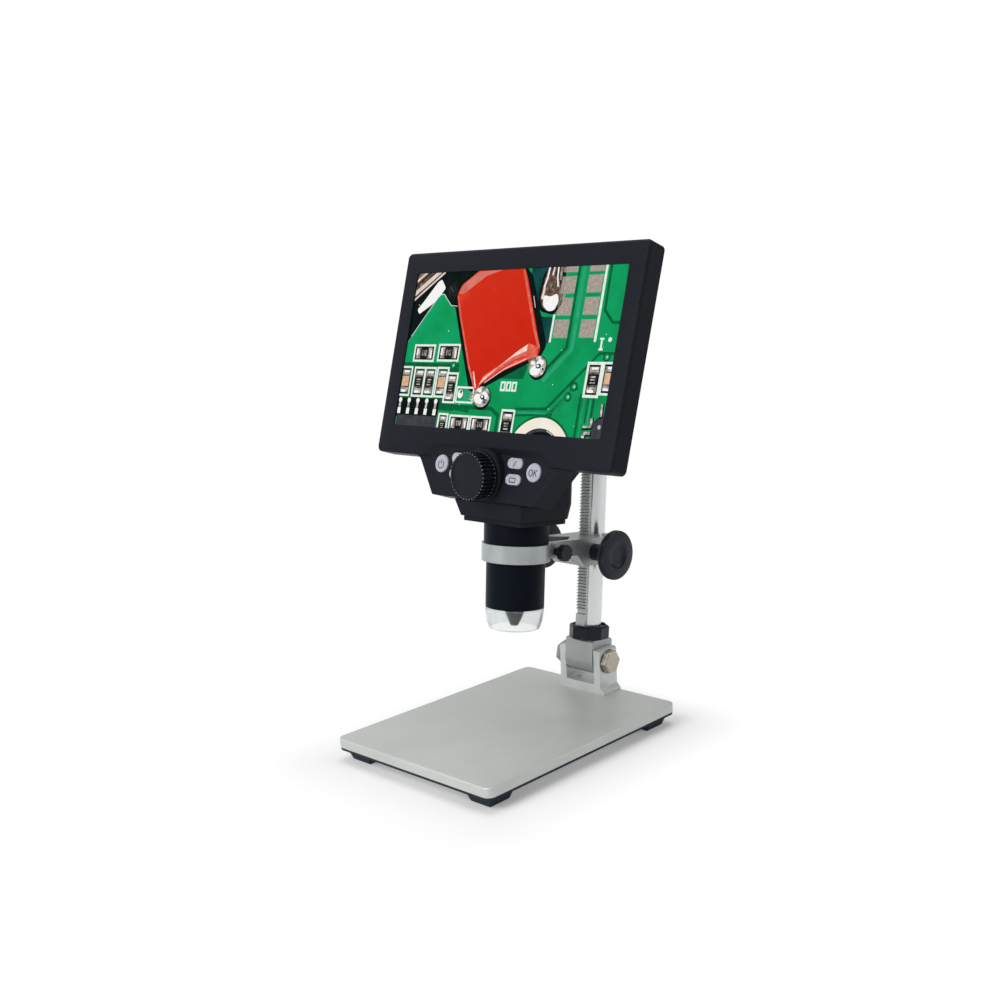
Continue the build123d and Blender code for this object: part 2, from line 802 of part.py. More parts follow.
lower_bottom = lower_top - lower_length
with BuildPart() as lower_barrel:
    with BuildSketch(at(head, z=lower_bottom)):
        Circle(lower_radius)
        Circle(lower_radius - barrel_wall, mode=Mode.SUBTRACT)
    extrude(amount=lower_length)
    with BuildSketch(at(head, z=lower_bottom)):
        Circle(led_board_radius + running_fit)
    extrude(amount=led_seat - lower_bottom, mode=Mode.SUBTRACT)
save(lower_barrel.part, "lower_barrel")

side_section = facing_front(head)
with BuildPart() as clear_hood:
    with BuildSketch(side_section):
        bottom = lower_bottom - hood_height
        step = lower_radius - groove_width
        with BuildLine():
            Polyline(
                (step, lower_bottom),
                (step, lower_bottom - groove_width),
                (lower_radius, lower_bottom - groove_width),
            )
            ThreePointArc(
                (lower_radius, lower_bottom - groove_width),
                (lower_radius - hood_swell, lower_bottom - hood_height * 0.55),
                (hood_bottom_radius, bottom),
            )
            Line((hood_bottom_radius, bottom), (hood_bottom_radius - hood_wall, bottom))
            Line((hood_bottom_radius - hood_wall, bottom), (lower_radius - hood_wall, lower_bottom))
            Line((lower_radius - hood_wall, lower_bottom), (step, lower_bottom))
        make_face()
    revolve(axis=Axis(head.origin, head.z_dir))
save(clear_hood.part, "clear_hood")

with BuildPart() as led_board:
    with BuildSketch(at(head, z=led_seat - led_board_thickness)):
        Circle(led_board_radius)
        Circle(led_board_hole, mode=Mode.SUBTRACT)
    extrude(amount=led_board_thickness)
save(led_board.part, "led_board")

with BuildPart() as leds:
    with BuildSketch(at(head, z=led_seat - led_board_thickness - led_height)):
        with PolarLocations(led_circle, led_count):
            Circle(led_radius)
    extrude(amount=led_height)
    low_edges = leds.edges().filter_by(GeomType.CIRCLE).group_by(Axis(head.origin, head.z_dir))[0]
    chamfer(low_edges, led_height / 3)
save(leds.part, "leds")

with BuildPart() as lens_tube:
    with BuildSketch(side_section):
        slide = lower_radius - barrel_wall - running_fit
        with BuildLine():
            Polyline(
                (tube_bore, skirt_top),
                (slide, skirt_top),
                (slide, skirt_bottom),
                (slide - skirt_wall, skirt_bottom),
                (slide - skirt_wall, skirt_top - web),
                (tube_radius, skirt_top - web),
                (tube_radius, cone_top),
                (cone_radius, cone_bottom),
                (cone_bore, cone_bottom),
                (tube_bore, cone_top),
                (tube_bore, skirt_top),
            )
        make_face()
    revolve(axis=Axis(head.origin, head.z_dir))
save(lens_tube.part, "lens_tube")


def lens_section(height):
    """Half section of a lens that bulges on both faces."""
    rim = lens_thickness / 2
    crown = rim + lens_bulge
    with BuildSketch() as section:
        with BuildLine():
            Line((0, height - crown), (0, height + crown))
            TangentArc((0, height + crown), (lens_radius, height + rim), tangent=(1, 0))
            Line((lens_radius, height + rim), (lens_radius, height - rim))
            TangentArc((0, height - crown), (lens_radius, height - rim), tangent=(1, 0))
        make_face()
    return section.sketch


for lens_name, height in (("front_lens", front_lens_height), ("rear_lens", rear_lens_height)):
    with BuildPart() as lens:
        with BuildSketch(side_section):
            add(lens_section(height))
        revolve(axis=Axis(head.origin, head.z_dir))
    save(lens.part, lens_name)

# ---- lens rack: stands on the lens tube and meshes with the focus pinion
focus_pitch = pi * focus_module
focus_rack_top = focus_height + lens_travel_down + focus_pitch + focus_module
focus_root = focus_pitch_radius + 1.25 * focus_module
focus_rack_back = focus_root + focus_rack_thickness - 2.25 * focus_module
with BuildPart() as lens_rack:
    with BuildSketch(facing_front(head, y=focus_gear_front + focus_gear_width)):
        with BuildLine():
            outline = [(focus_rack_back, skirt_top)]
            outline += [(focus_root, skirt_top)]
            teeth_below = int((lens_travel_up + focus_pitch) / focus_pitch + 1)
            teeth_above = int((lens_travel_down + focus_pitch / 2) / focus_pitch)
            for step in range(-teeth_below, teeth_above + 1):
                centre = focus_height + (step + 0.5) * focus_pitch
                outline += rack_tooth_points(
                    focus_pitch_radius - focus_module, focus_root, centre, focus_module, tooth_backlash
                )
            outline += [(focus_root, focus_rack_top), (focus_rack_back, focus_rack_top)]
            Polyline(*outline, close=True)
        make_face()
    extrude(amount=focus_gear_width)
save(lens_rack.part, "lens_rack")

with BuildPart() as focus_pinion:
    with BuildSketch(facing_front(head, y=focus_gear_front + focus_gear_width, z=focus_height)):
        with BuildLine():
            gear_outline(focus_teeth, focus_module, tooth_backlash, 0)
        make_face()
        Circle(focus_shaft_radius, mode=Mode.SUBTRACT)
    extrude(amount=focus_gear_width)
save(focus_pinion.part, "focus_pinion")

wheel_front = wheel_back - wheel_length
with BuildPart() as focus_shaft:
    with BuildSketch(facing_front(head, y=focus_gear_front + focus_gear_width, z=focus_height)):
        Circle(focus_shaft_radius)
    extrude(amount=focus_gear_front + focus_gear_width - wheel_front - wheel_rim - wheel_flange)
save(focus_shaft.part, "focus_shaft")

with BuildPart() as focus_wheel:
    with BuildSketch(facing_front(head, y=wheel_back, z=focus_height)):
        Circle(wheel_core)
        with PolarLocations(wheel_core, wheel_ribs):
            Rectangle(2 * (wheel_radius - wheel_core) - running_fit, wheel_rib_width)
    extrude(amount=wheel_length - wheel_rim)
    with BuildSketch(facing_front(head, y=wheel_back, z=focus_height)):
        Circle(wheel_radius)
    extrude(amount=wheel_flange)
    with BuildSketch(facing_front(head, y=wheel_front + wheel_rim, z=focus_height)):
        Circle(wheel_radius)
    extrude(amount=wheel_rim)
    front_face = focus_wheel.faces().sort_by(Axis(head.origin, head.y_dir))[0]
    fillet(front_face.edges(), wheel_front_edge)
    with BuildSketch(facing_front(head, y=wheel_front + wheel_dish, z=focus_height)):
        Circle(wheel_core - wheel_rim)
    extrude(amount=wheel_dish, mode=Mode.SUBTRACT)
    with BuildSketch(facing_front(head, y=wheel_back, z=focus_height)):
        Circle(focus_shaft_radius)
    extrude(amount=wheel_length - wheel_rim - wheel_flange, mode=Mode.SUBTRACT)
save(focus_wheel.part, "focus_wheel")

# =========================================================================== screen housing
seam = screen.offset(seam_off)
toward_viewer = Axis(screen.origin, screen.z_dir)
bezel_middle = (bezel_up - bezel_down) / 2
bezel_height = bezel_up + bezel_down


def housing_outline(inset=0.0):
    """The screen's rounded rectangle with the control panel's chin below it."""
    with BuildSketch() as outline:
        with Locations((0, bezel_middle)):
            RectangleRounded(bezel_width, bezel_height, bezel_corner)
        with BuildLine():
            Polyline(
                (-chin_join_u, bezel_corner - bezel_down),
                (-chin_join_u, -bezel_down),
                (-chin_bottom_u, chin_bottom_v),
                (chin_bottom_u, chin_bottom_v),
                (chin_join_u, -bezel_down),
                (chin_join_u, bezel_corner - bezel_down),
                close=True,
            )
        make_face()
        fillet(outline.vertices().group_by(Axis.Y)[0], chin_corner)
        low, high = -bezel_down - running_fit, running_fit - bezel_down
        joins = outline.vertices().filter_by_position(Axis.Y, low, high)
        reach_u = chin_join_u + running_fit
        fillet(joins.filter_by_position(Axis.X, -reach_u, reach_u), chin_fillet)
        if inset:
            offset(amount=-inset, kind=Kind.INTERSECTION, mode=Mode.REPLACE)
    return outline.sketch


with BuildPart() as wheel_seat:
    with BuildSketch(facing_front(head, y=seat_face, z=focus_height)):
        Circle(seat_radius)
    extrude(amount=seat_face - screen_y)
    fillet(wheel_seat.faces().sort_by(Axis(head.origin, head.y_dir))[0].edges(), seat_edge)
    with BuildSketch(seam):
        add(housing_outline())
    extrude(amount=-seam_off - seat_face, mode=Mode.INTERSECT)
    with BuildSketch(screen.offset(panel_floor)):
        Rectangle(bezel_width, 4 * bezel_height)
    extrude(amount=seat_face, mode=Mode.SUBTRACT)

side_posts = [(u, v) for u in (-post_u, post_u) for v in (post_low_v, post_high_v)]
chin_posts = [(-chin_post_u, chin_post_v), (chin_post_u, chin_post_v)]
post_places = side_posts + chin_posts


def key_place(key_name):
    across, below = key_places[key_name]
    return across, -bezel_down - below


def key_shape(key_name, grow):
    """A button's outline at its place on the panel, grown by a gap or a flange."""
    with Locations(key_place(key_name)):
        if key_name in round_keys:
            Circle(round_key_radius + grow)
        else:
            SlotOverall(pill_length + 2 * grow, pill_width + 2 * grow)


with BuildPart() as front_bezel:
    with BuildSketch(seam):
        add(housing_outline())
    extrude(amount=panel_off - seam_off)
    with BuildSketch(screen.offset(panel_off)):
        with Locations((0, bezel_middle)):
            RectangleRounded(bezel_width, bezel_height, bezel_corner)
    extrude(amount=bezel_face - panel_off)
    chamfer(front_bezel.faces().sort_by(toward_viewer)[-1].edges(), bezel_chamfer)
    with BuildSketch(screen.offset(bezel_face)):
        with BuildLine():
            reach_u = bezel_width / 2
            reach_v = recess_top_v - recess_slope * (reach_u - recess_top_u)
            Polyline(
                (-recess_top_u, recess_top_v),
                (recess_top_u, recess_top_v),
                (reach_u, reach_v),
                (reach_u, 2 * chin_bottom_v),
                (-reach_u, 2 * chin_bottom_v),
                (-reach_u, reach_v),
                (-recess_top_u, recess_top_v),
            )
        make_face()
    recess_angle = degrees(atan(recess_run / (bezel_face - panel_off)))
    extrude(amount=panel_off - bezel_face, taper=recess_angle, mode=Mode.SUBTRACT)
    with BuildSketch(seam):
        add(housing_outline(shell_wall))
    extrude(amount=panel_floor - seam_off, mode=Mode.SUBTRACT)
    with BuildSketch(screen.offset(panel_floor)):
        inside_low = recess_top_v + shell_wall
        inside_high = bezel_up - shell_wall
        with Locations((0, (inside_low + inside_high) / 2)):
            Rectangle(bezel_width - 2 * shell_wall, inside_high - inside_low)
    extrude(amount=front_wall_back - panel_floor, mode=Mode.SUBTRACT)
    with BuildSketch(screen.offset(front_wall_back)):
        Rectangle(glass_width + 2 * screw_fit, glass_height + 2 * screw_fit)
    extrude(amount=glass_thickness, mode=Mode.SUBTRACT)
    with BuildSketch(screen):
        RectangleRounded(window_width, window_height, window_corner)
    extrude(amount=bezel_face, mode=Mode.SUBTRACT)
    with BuildSketch(seam):
        for place in post_places:
            with Locations(place):
                Circle(post_radius)
    extrude(amount=panel_floor - seam_off)
    with BuildSketch(screen.offset(panel_floor)):
        for place in side_posts:
            with Locations(place):
                Circle(post_radius)
    extrude(amount=front_wall_back - panel_floor)
    with BuildSketch(seam):
        for place in post_places:
            with Locations(place):
                Circle(case_screw_radius + screw_fit)
    extrude(amount=case_screw_length, mode=Mode.SUBTRACT)
    add(wheel_seat.part)
    with BuildSketch(facing_front(head, y=screen_y, z=focus_height)):
        Circle(focus_bush_radius)
    extrude(amount=screen_y - seat_face, mode=Mode.SUBTRACT)
    with BuildSketch(screen.offset(panel_off)):
        for key_name in key_places:
            key_shape(key_name, key_gap)
    extrude(amount=-shell_wall, mode=Mode.SUBTRACT)
    with BuildSketch(screen.offset(panel_off - pilot_depth)):
        with Locations((pilot_u, -bezel_down - pilot_below)):
            Circle(pilot_radius)
    extrude(amount=pilot_depth, mode=Mode.SUBTRACT)
save(front_bezel.part, "front_bezel")

with BuildPart() as focus_bush:
    with BuildSketch(facing_front(head, y=seat_face, z=focus_height)):
        Circle(focus_bush_radius)
        Circle(focus_shaft_radius + running_fit, mode=Mode.SUBTRACT)
    extrude(amount=-shell_wall * 2)
save(focus_bush.part, "focus_bush")


def hump_outline(inset=0.0):
    """The raised middle of the rear cover, which runs down to the end of the chin."""
    with BuildSketch() as outline:
        with BuildLine():
            Polyline(
                (-chin_bottom_u, chin_bottom_v),
                (chin_bottom_u, chin_bottom_v),
                (chin_join_u, -bezel_down),
                (hump_half_width, hump_side_low),
                (hump_half_width, hump_side_high),
                (hump_top_half, hump_top),
                (-hump_top_half, hump_top),
                (-hump_half_width, hump_side_high),
                (-hump_half_width, hump_side_low),
                (-chin_join_u, -bezel_down),
                close=True,
            )
        make_face()
        if inset:
            offset(amount=-inset, kind=Kind.INTERSECTION, mode=Mode.REPLACE)
    return outline.sketch


with BuildPart() as rear_cover:
    with BuildSketch(seam):
        add(housing_outline())
    extrude(amount=-cover_thickness)
    chamfer(rear_cover.faces().sort_by(toward_viewer)[0].edges(), cover_chamfer)
    with BuildSketch(seam):
        add(hump_outline())
    extrude(amount=-hump_depth)
    chamfer(rear_cover.faces().sort_by(toward_viewer)[0].edges(), hump_chamfer)
    with BuildSketch(seam):
        add(hump_outline(shell_wall))
    extrude(amount=shell_wall - hump_depth, mode=Mode.SUBTRACT)
    with BuildSketch(seam):
        for place in chin_posts:
            with Locations(place):
                Circle(post_radius)
    extrude(amount=shell_wall - hump_depth)
    with BuildSketch(screen.offset(hump_floor)):
        with Locations((main_board_u, main_board_v)):
            with GridLocations(main_board_width - 4 * post_radius, main_board_height - 4 * post_radius, 2, 2):
                Circle(post_radius)
    extrude(amount=main_board_off - board_thickness - hump_floor)
    with BuildSketch(seam):
        for place in post_places:
            with Locations(place):
                Circle(case_screw_radius + screw_fit)
    extrude(amount=-hump_depth, mode=Mode.SUBTRACT)
    with BuildSketch(screen.offset(seam_off - case_screw_head_depth)):
        for place in post_places:
            with Locations(place):
                Circle(case_screw_head + screw_fit)
    extrude(amount=-hump_depth, mode=Mode.SUBTRACT)
    with BuildSketch(facing_front(head, y=screen_y, z=focus_height)):
        Circle(focus_shaft_radius + shaft_clearance)
    extrude(amount=screen_y - seam_off, both=True, mode=Mode.SUBTRACT)
    port_off = main_board_off - board_thickness
    with BuildSketch(facing_right(screen, x=-hump_half_width)):
        with Locations((usb_v, port_off - usb_thickness / 2)):
            Rectangle(usb_width + 2 * key_gap, usb_thickness + 2 * key_gap)
        with Locations((card_v, port_off - card_thickness / 2)):
            Rectangle(card_width + 2 * key_gap, card_thickness + 2 * key_gap)
    extrude(amount=shell_wall + cover_chamfer, mode=Mode.SUBTRACT)
save(rear_cover.part, "rear_cover")

with BuildPart() as housing_screws:
    with BuildSketch(screen.offset(seam_off - case_screw_head_depth)):
        for place in post_places:
            with Locations(place):
                Circle(case_screw_head)
    extrude(amount=-case_screw_head_depth / 2)
    with BuildSketch(screen.offset(seam_off - case_screw_head_depth)):
        for place in post_places:
            with Locations(place):
                Circle(case_screw_radius)
    extrude(amount=case_screw_length)
save(housing_screws.part, "housing_screws")

with BuildPart() as lcd_glass:
    with BuildSketch(screen.offset(-glass_thickness)):
        Rectangle(glass_width, glass_height)
    extrude(amount=glass_thickness)
save(lcd_glass.part, "lcd_glass")

with BuildPart() as lcd_backlight:
    with BuildSketch(screen.offset(-glass_thickness - backlight_thickness)):
        Rectangle(backlight_width, backlight_height)
    extrude(amount=backlight_thickness)
save(lcd_backlight.part, "lcd_backlight")

with BuildPart() as main_board:
    with BuildSketch(screen.offset(main_board_off - board_thickness)):
        with Locations((main_board_u, main_board_v)):
            Rectangle(main_board_width, main_board_height)
    extrude(amount=board_thickness)
save(main_board.part, "main_board")

with BuildPart() as key_board:
    with BuildSketch(screen.offset(key_board_off - board_thickness)):
        with Locations((0, key_board_v)):
            Rectangle(key_board_width, key_board_height)
    extrude(amount=board_thickness)
    with BuildSketch(facing_front(head, y=screen_y, z=focus_height)):
        Circle(focus_bush_radius + shaft_clearance)
    extrude(amount=screen_y - seat_face, both=True, mode=Mode.SUBTRACT)
save(key_board.part, "key_board")

with BuildPart() as key_switches:
    with BuildSketch(screen.offset(key_board_off)):
        with Locations(*[key_place(key_name) for key_name in key_places]):
            Rectangle(switch_size, switch_size)
    extrude(amount=switch_top - key_board_off)
save(key_switches.part, "key_switches")

with BuildPart() as battery:
    with BuildSketch(screen.offset(hump_floor)):
        with Locations((battery_u, main_board_v)):
            RectangleRounded(battery_width, main_board_height, battery_thickness / 4)
    extrude(amount=battery_thickness)
save(battery.part, "battery")

with BuildPart() as usb_socket:
    with BuildSketch(facing_right(screen, x=-hump_half_width + cover_chamfer)):
        with Locations((usb_v, port_off - usb_thickness / 2)):
            SlotOverall(usb_width, usb_thickness)
            SlotOverall(usb_width - 2 * usb_wall, usb_thickness - 2 * usb_wall, mode=Mode.SUBTRACT)
    extrude(amount=usb_depth)
    with BuildSketch(facing_right(screen, x=-hump_half_width + cover_chamfer + usb_depth - usb_wall)):
        with Locations((usb_v, port_off - usb_thickness / 2)):
            SlotOverall(usb_width, usb_thickness)
    extrude(amount=usb_wall)
save(usb_socket.part, "usb_socket")

with BuildPart() as card_slot:
    with BuildSketch(facing_right(screen, x=-hump_half_width + cover_chamfer)):
        with Locations((card_v, port_off - card_thickness / 2)):
            Rectangle(card_width, card_thickness)
            Rectangle(card_width - 2 * card_slit, card_slit, mode=Mode.SUBTRACT)
    extrude(amount=card_depth)
save(card_slot.part, "card_slot")

for key_name in key_places:
    with BuildPart() as button:
        with BuildSketch(screen.offset(key_flange_top)):
            key_shape(key_name, 0)
        extrude(amount=panel_off + key_rise - key_flange_top)
        chamfer(button.faces().sort_by(toward_viewer)[-1].edges(), key_edge)
        with BuildSketch(screen.offset(key_flange_top - key_flange_thickness)):
            key_shape(key_name, key_flange)
        extrude(amount=key_flange_thickness)
    save(button.part, key_name)

# =========================================================================== neck


def neck_outline(inset, taper=0.0):
    """Plan of the neck: square at the front, rounded at the rear, tapered on all sides but the rear."""
    front = inset + taper - neck_front
    rear = neck_rear - inset
    with BuildSketch() as outline:
        with Locations((0, (front + rear) / 2)):
            Rectangle(2 * (neck_half_width - inset - taper), rear - front)
        fillet(outline.vertices().group_by(Axis.Y)[-1], neck_rear_corner - min(inset, neck_rear_corner / 2))
        fillet(outline.vertices().group_by(Axis.Y)[0], neck_front_corner)
    return outline.sketch


with BuildPart() as neck_housing:
    for wall, mode in ((0, Mode.ADD), (neck_wall, Mode.SUBTRACT)):
        with BuildSketch(at(head, z=neck_bottom)):
            add(neck_outline(wall, neck_taper))
        with BuildSketch(at(head, z=neck_full)):
            add(neck_outline(wall))
        loft(mode=mode)
        with BuildSketch(at(head, z=neck_full)):
            add(neck_outline(wall))
        extrude(amount=neck_top - neck_full - wall, mode=mode)
        if not wall:
            roof = neck_housing.faces().sort_by(Axis(head.origin, head.z_dir))[-1]
            fillet(roof.edges(), neck_roof_edge)
    with BuildSketch(at(head, z=neck_top - neck_wall)):
        across = sensor_board_width - 2 * post_radius
        along = sensor_board_depth - 4 * post_radius
        with Locations((0, sensor_board_front + sensor_board_depth / 2)):
            with GridLocations(across, along, 2, 2):
                Circle(post_radius)
    extrude(amount=sensor_board_height + sensor_board_thickness - neck_top + neck_wall)
    with BuildSketch(screen.offset(hump_off)):
        Polygon(
            (-bezel_width, chin_bottom_v),
            (bezel_width, chin_bottom_v),
            (bezel_width, bezel_width),
            (-bezel_width, bezel_width),
            align=None,
        )
    extrude(amount=bezel_width, mode=Mode.SUBTRACT)
save(neck_housing.part, "neck_housing")

with BuildPart() as neck_base:
    with BuildSketch(at(head, z=base_bottom)):
        add(neck_outline(base_inset, neck_taper))
    extrude(amount=neck_bottom - base_bottom)
    with BuildSketch(at(head, z=neck_bottom)):
        add(neck_outline(neck_wall + screw_fit, neck_taper))
    extrude(amount=base_lip)
    with BuildSketch(at(head, z=base_bottom)):
        Circle(upper_spigot_radius + running_fit)
    extrude(amount=neck_bottom, mode=Mode.SUBTRACT)
save(neck_base.part, "neck_base")

with BuildPart() as sensor_board:
    with BuildSketch(at(head, z=sensor_board_height)):
        with Locations((0, sensor_board_front + sensor_board_depth / 2)):
            Rectangle(sensor_board_width, sensor_board_depth)
    extrude(amount=sensor_board_thickness)
save(sensor_board.part, "sensor_board")

with BuildPart() as image_sensor:
    with BuildSketch(at(head, z=sensor_board_height - sensor_thickness)):
        Rectangle(sensor_size, sensor_size)
    extrude(amount=sensor_thickness)
save(image_sensor.part, "image_sensor")
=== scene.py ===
import json
import math
import random

import bmesh
import bpy
from mathutils import Matrix, Vector


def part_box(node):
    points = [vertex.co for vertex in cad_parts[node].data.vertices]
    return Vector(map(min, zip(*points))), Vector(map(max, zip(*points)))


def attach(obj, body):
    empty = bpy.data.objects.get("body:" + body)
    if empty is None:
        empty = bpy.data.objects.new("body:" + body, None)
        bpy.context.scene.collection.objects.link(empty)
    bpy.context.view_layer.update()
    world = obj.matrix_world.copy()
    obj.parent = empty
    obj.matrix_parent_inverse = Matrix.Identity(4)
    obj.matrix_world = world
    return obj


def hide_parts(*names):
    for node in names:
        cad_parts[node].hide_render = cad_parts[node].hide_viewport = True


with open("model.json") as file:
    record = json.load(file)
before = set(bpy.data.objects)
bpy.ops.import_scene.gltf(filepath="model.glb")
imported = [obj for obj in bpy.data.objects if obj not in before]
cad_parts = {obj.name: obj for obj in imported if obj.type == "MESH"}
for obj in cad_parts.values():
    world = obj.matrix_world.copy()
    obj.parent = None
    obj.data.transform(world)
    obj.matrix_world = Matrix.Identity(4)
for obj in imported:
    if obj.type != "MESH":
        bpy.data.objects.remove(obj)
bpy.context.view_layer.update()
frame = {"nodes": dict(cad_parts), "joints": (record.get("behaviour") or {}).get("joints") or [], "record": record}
print("frame loaded")

mm = 0.001
mergeDistance = 0.001 * mm
sharpAngle = 32      # degrees between faces from which an edge stays sharp, or is eased
standLean = -6       # degrees
screenLean = -18
slotOf = {part["node"]: part["material_slot"] for part in frame["record"]["subparts"]}
bodyOf = {node: body for body, nodes in frame["record"]["behaviour"]["bodies"].items() for node in nodes}
joints = {joint["name"]: joint for joint in frame["joints"]}


# shader helpers

def linear(red, green, blue):
    # a colour given from 0 to 255, as the shader's own values
    def level(value):
        share = value / 255
        return share / 12.92 if share <= 0.04045 else ((share + 0.055) / 1.055) ** 2.4
    return (level(red), level(green), level(blue), 1.0)


class Wire:
    # one output of a node, so that patterns are written as sums
    def __init__(self, tree, socket=None):
        self.tree = tree
        self.socket = socket

    def make(self, kind, settings=None, sockets=None, take=0):
        node = self.tree.nodes.new("ShaderNode" + kind)
        for name, value in (settings or {}).items():
            if name == "stops":
                ramp = node.color_ramp
                while len(ramp.elements) < len(value):
                    ramp.elements.new(0.5)
                for element, (position, colour) in zip(ramp.elements, value):
                    element.position = position
                    element.color = linear(*colour)
            else:
                setattr(node, name, value)
        for name, value in (sockets or {}).items():
            if isinstance(value, Wire):
                self.tree.links.new(value.socket, node.inputs[name])
            else:
                node.inputs[name].default_value = value
        return Wire(self.tree, node.outputs[take] if len(node.outputs) else None)

    def maths(self, operation, first, second):
        return self.make("Math", {"operation": operation}, {0: first, 1: second})

    def __add__(self, other):
        return self.maths("ADD", self, other)

    def __radd__(self, other):
        return self.maths("ADD", other, self)

    def __sub__(self, other):
        return self.maths("SUBTRACT", self, other)

    def __rsub__(self, other):
        return self.maths("SUBTRACT", other, self)

    def __mul__(self, other):
        return self.maths("MULTIPLY", self, other)

    def __rmul__(self, other):
        return self.maths("MULTIPLY", other, self)

    def above(self, level, blend):
        # 0 below the level and 1 above it, with a soft step between
        return self.make("MapRange", {"interpolation_type": "SMOOTHSTEP"},
                         {"Value": self, "From Min": level - blend, "From Max": level + blend})

    def mixed(self, first, second):
        # this value as the share of the second colour
        return self.make("Mix", {"data_type": "RGBA"}, {0: self, 6: first, 7: second}, 2)


def newShader(name):
    material = bpy.data.materials.new(name)
    material.use_nodes = True
    material.node_tree.nodes.clear()
    return material, Wire(material.node_tree)


def noise(shader, place, size, detail=3.0):
    # cloudy pattern from 0 to 1 with lumps of about this size in mm
    return shader.make("TexNoise", None, {"Vector": place, "Scale": 1 / (size * mm), "Detail": detail})


def relief(shader, height, depth):
    return shader.make("Bump", None, {"Height": height, "Distance": depth * mm, "Strength": 1.0})


def finished(material, shader, sockets):
    surface = shader.make("BsdfPrincipled", None, sockets)
    shader.make("OutputMaterial", None, {"Surface": surface})
    return material


# plastics, rubber, paint and blasted metal: a fine grain, faint clouds of tone and gloss, a few pale specks
mouldedMix = {"cloudGloss": 0.14, "grainGloss": 0.1, "speckSize": 2.4, "speckLevel": 0.72, "speckBlend": 0.05,
              "speckShare": 0.35}


def moulded(name, look):
    material, shader = newShader(name)
    place = shader.make("TexCoord", take="Object")
    clouds = noise(shader, place, look["patch"], 4.0)
    grain = noise(shader, place, look["grain"], 2.0)
    bumps = noise(shader, place, look["grain"] * mouldedMix["speckSize"], 1.0)
    specks = bumps.above(mouldedMix["speckLevel"], mouldedMix["speckBlend"])
    gloss = mouldedMix["cloudGloss"] * (clouds - 0.5) + mouldedMix["grainGloss"] * (grain - 0.5)
    tone = clouds.mixed(linear(*look["dark"]), linear(*look["light"]))
    return finished(material, shader, {
        "Base Color": (specks * mouldedMix["speckShare"]).mixed(tone, linear(*look["speck"])),
        "Roughness": look["rough"] + gloss,
        "Normal": relief(shader, grain, look["depth"]),
        "Specular IOR Level": look["shine"],
        "Metallic": look["metal"],
    })


# metals: streaks drawn out along one direction over faint clouds
brushedMix = {"streakShare": 0.6, "streakGloss": 0.22, "cloudGloss": 0.06}


def brushed(name, look):
    material, shader = newShader(name)
    place = shader.make("TexCoord", take="Object")
    drawn = shader.make("Mapping", {"vector_type": "TEXTURE"}, {
        "Vector": place, "Rotation": (math.radians(look["lean"]), 0, 0), "Scale": look["stretch"]})
    streaks = noise(shader, drawn, look["grain"], 2.0)
    clouds = noise(shader, place, look["patch"], 3.0)
    share = brushedMix["streakShare"]
    tone = share * streaks + (1 - share) * clouds
    gloss = brushedMix["streakGloss"] * (streaks - 0.5) + brushedMix["cloudGloss"] * (clouds - 0.5)
    return finished(material, shader, {
        "Base Color": tone.mixed(linear(*look["dark"]), linear(*look["light"])),
        "Roughness": look["rough"] + gloss,
        "Normal": relief(shader, streaks, look["depth"]),
        "Metallic": look["metal"],
    })


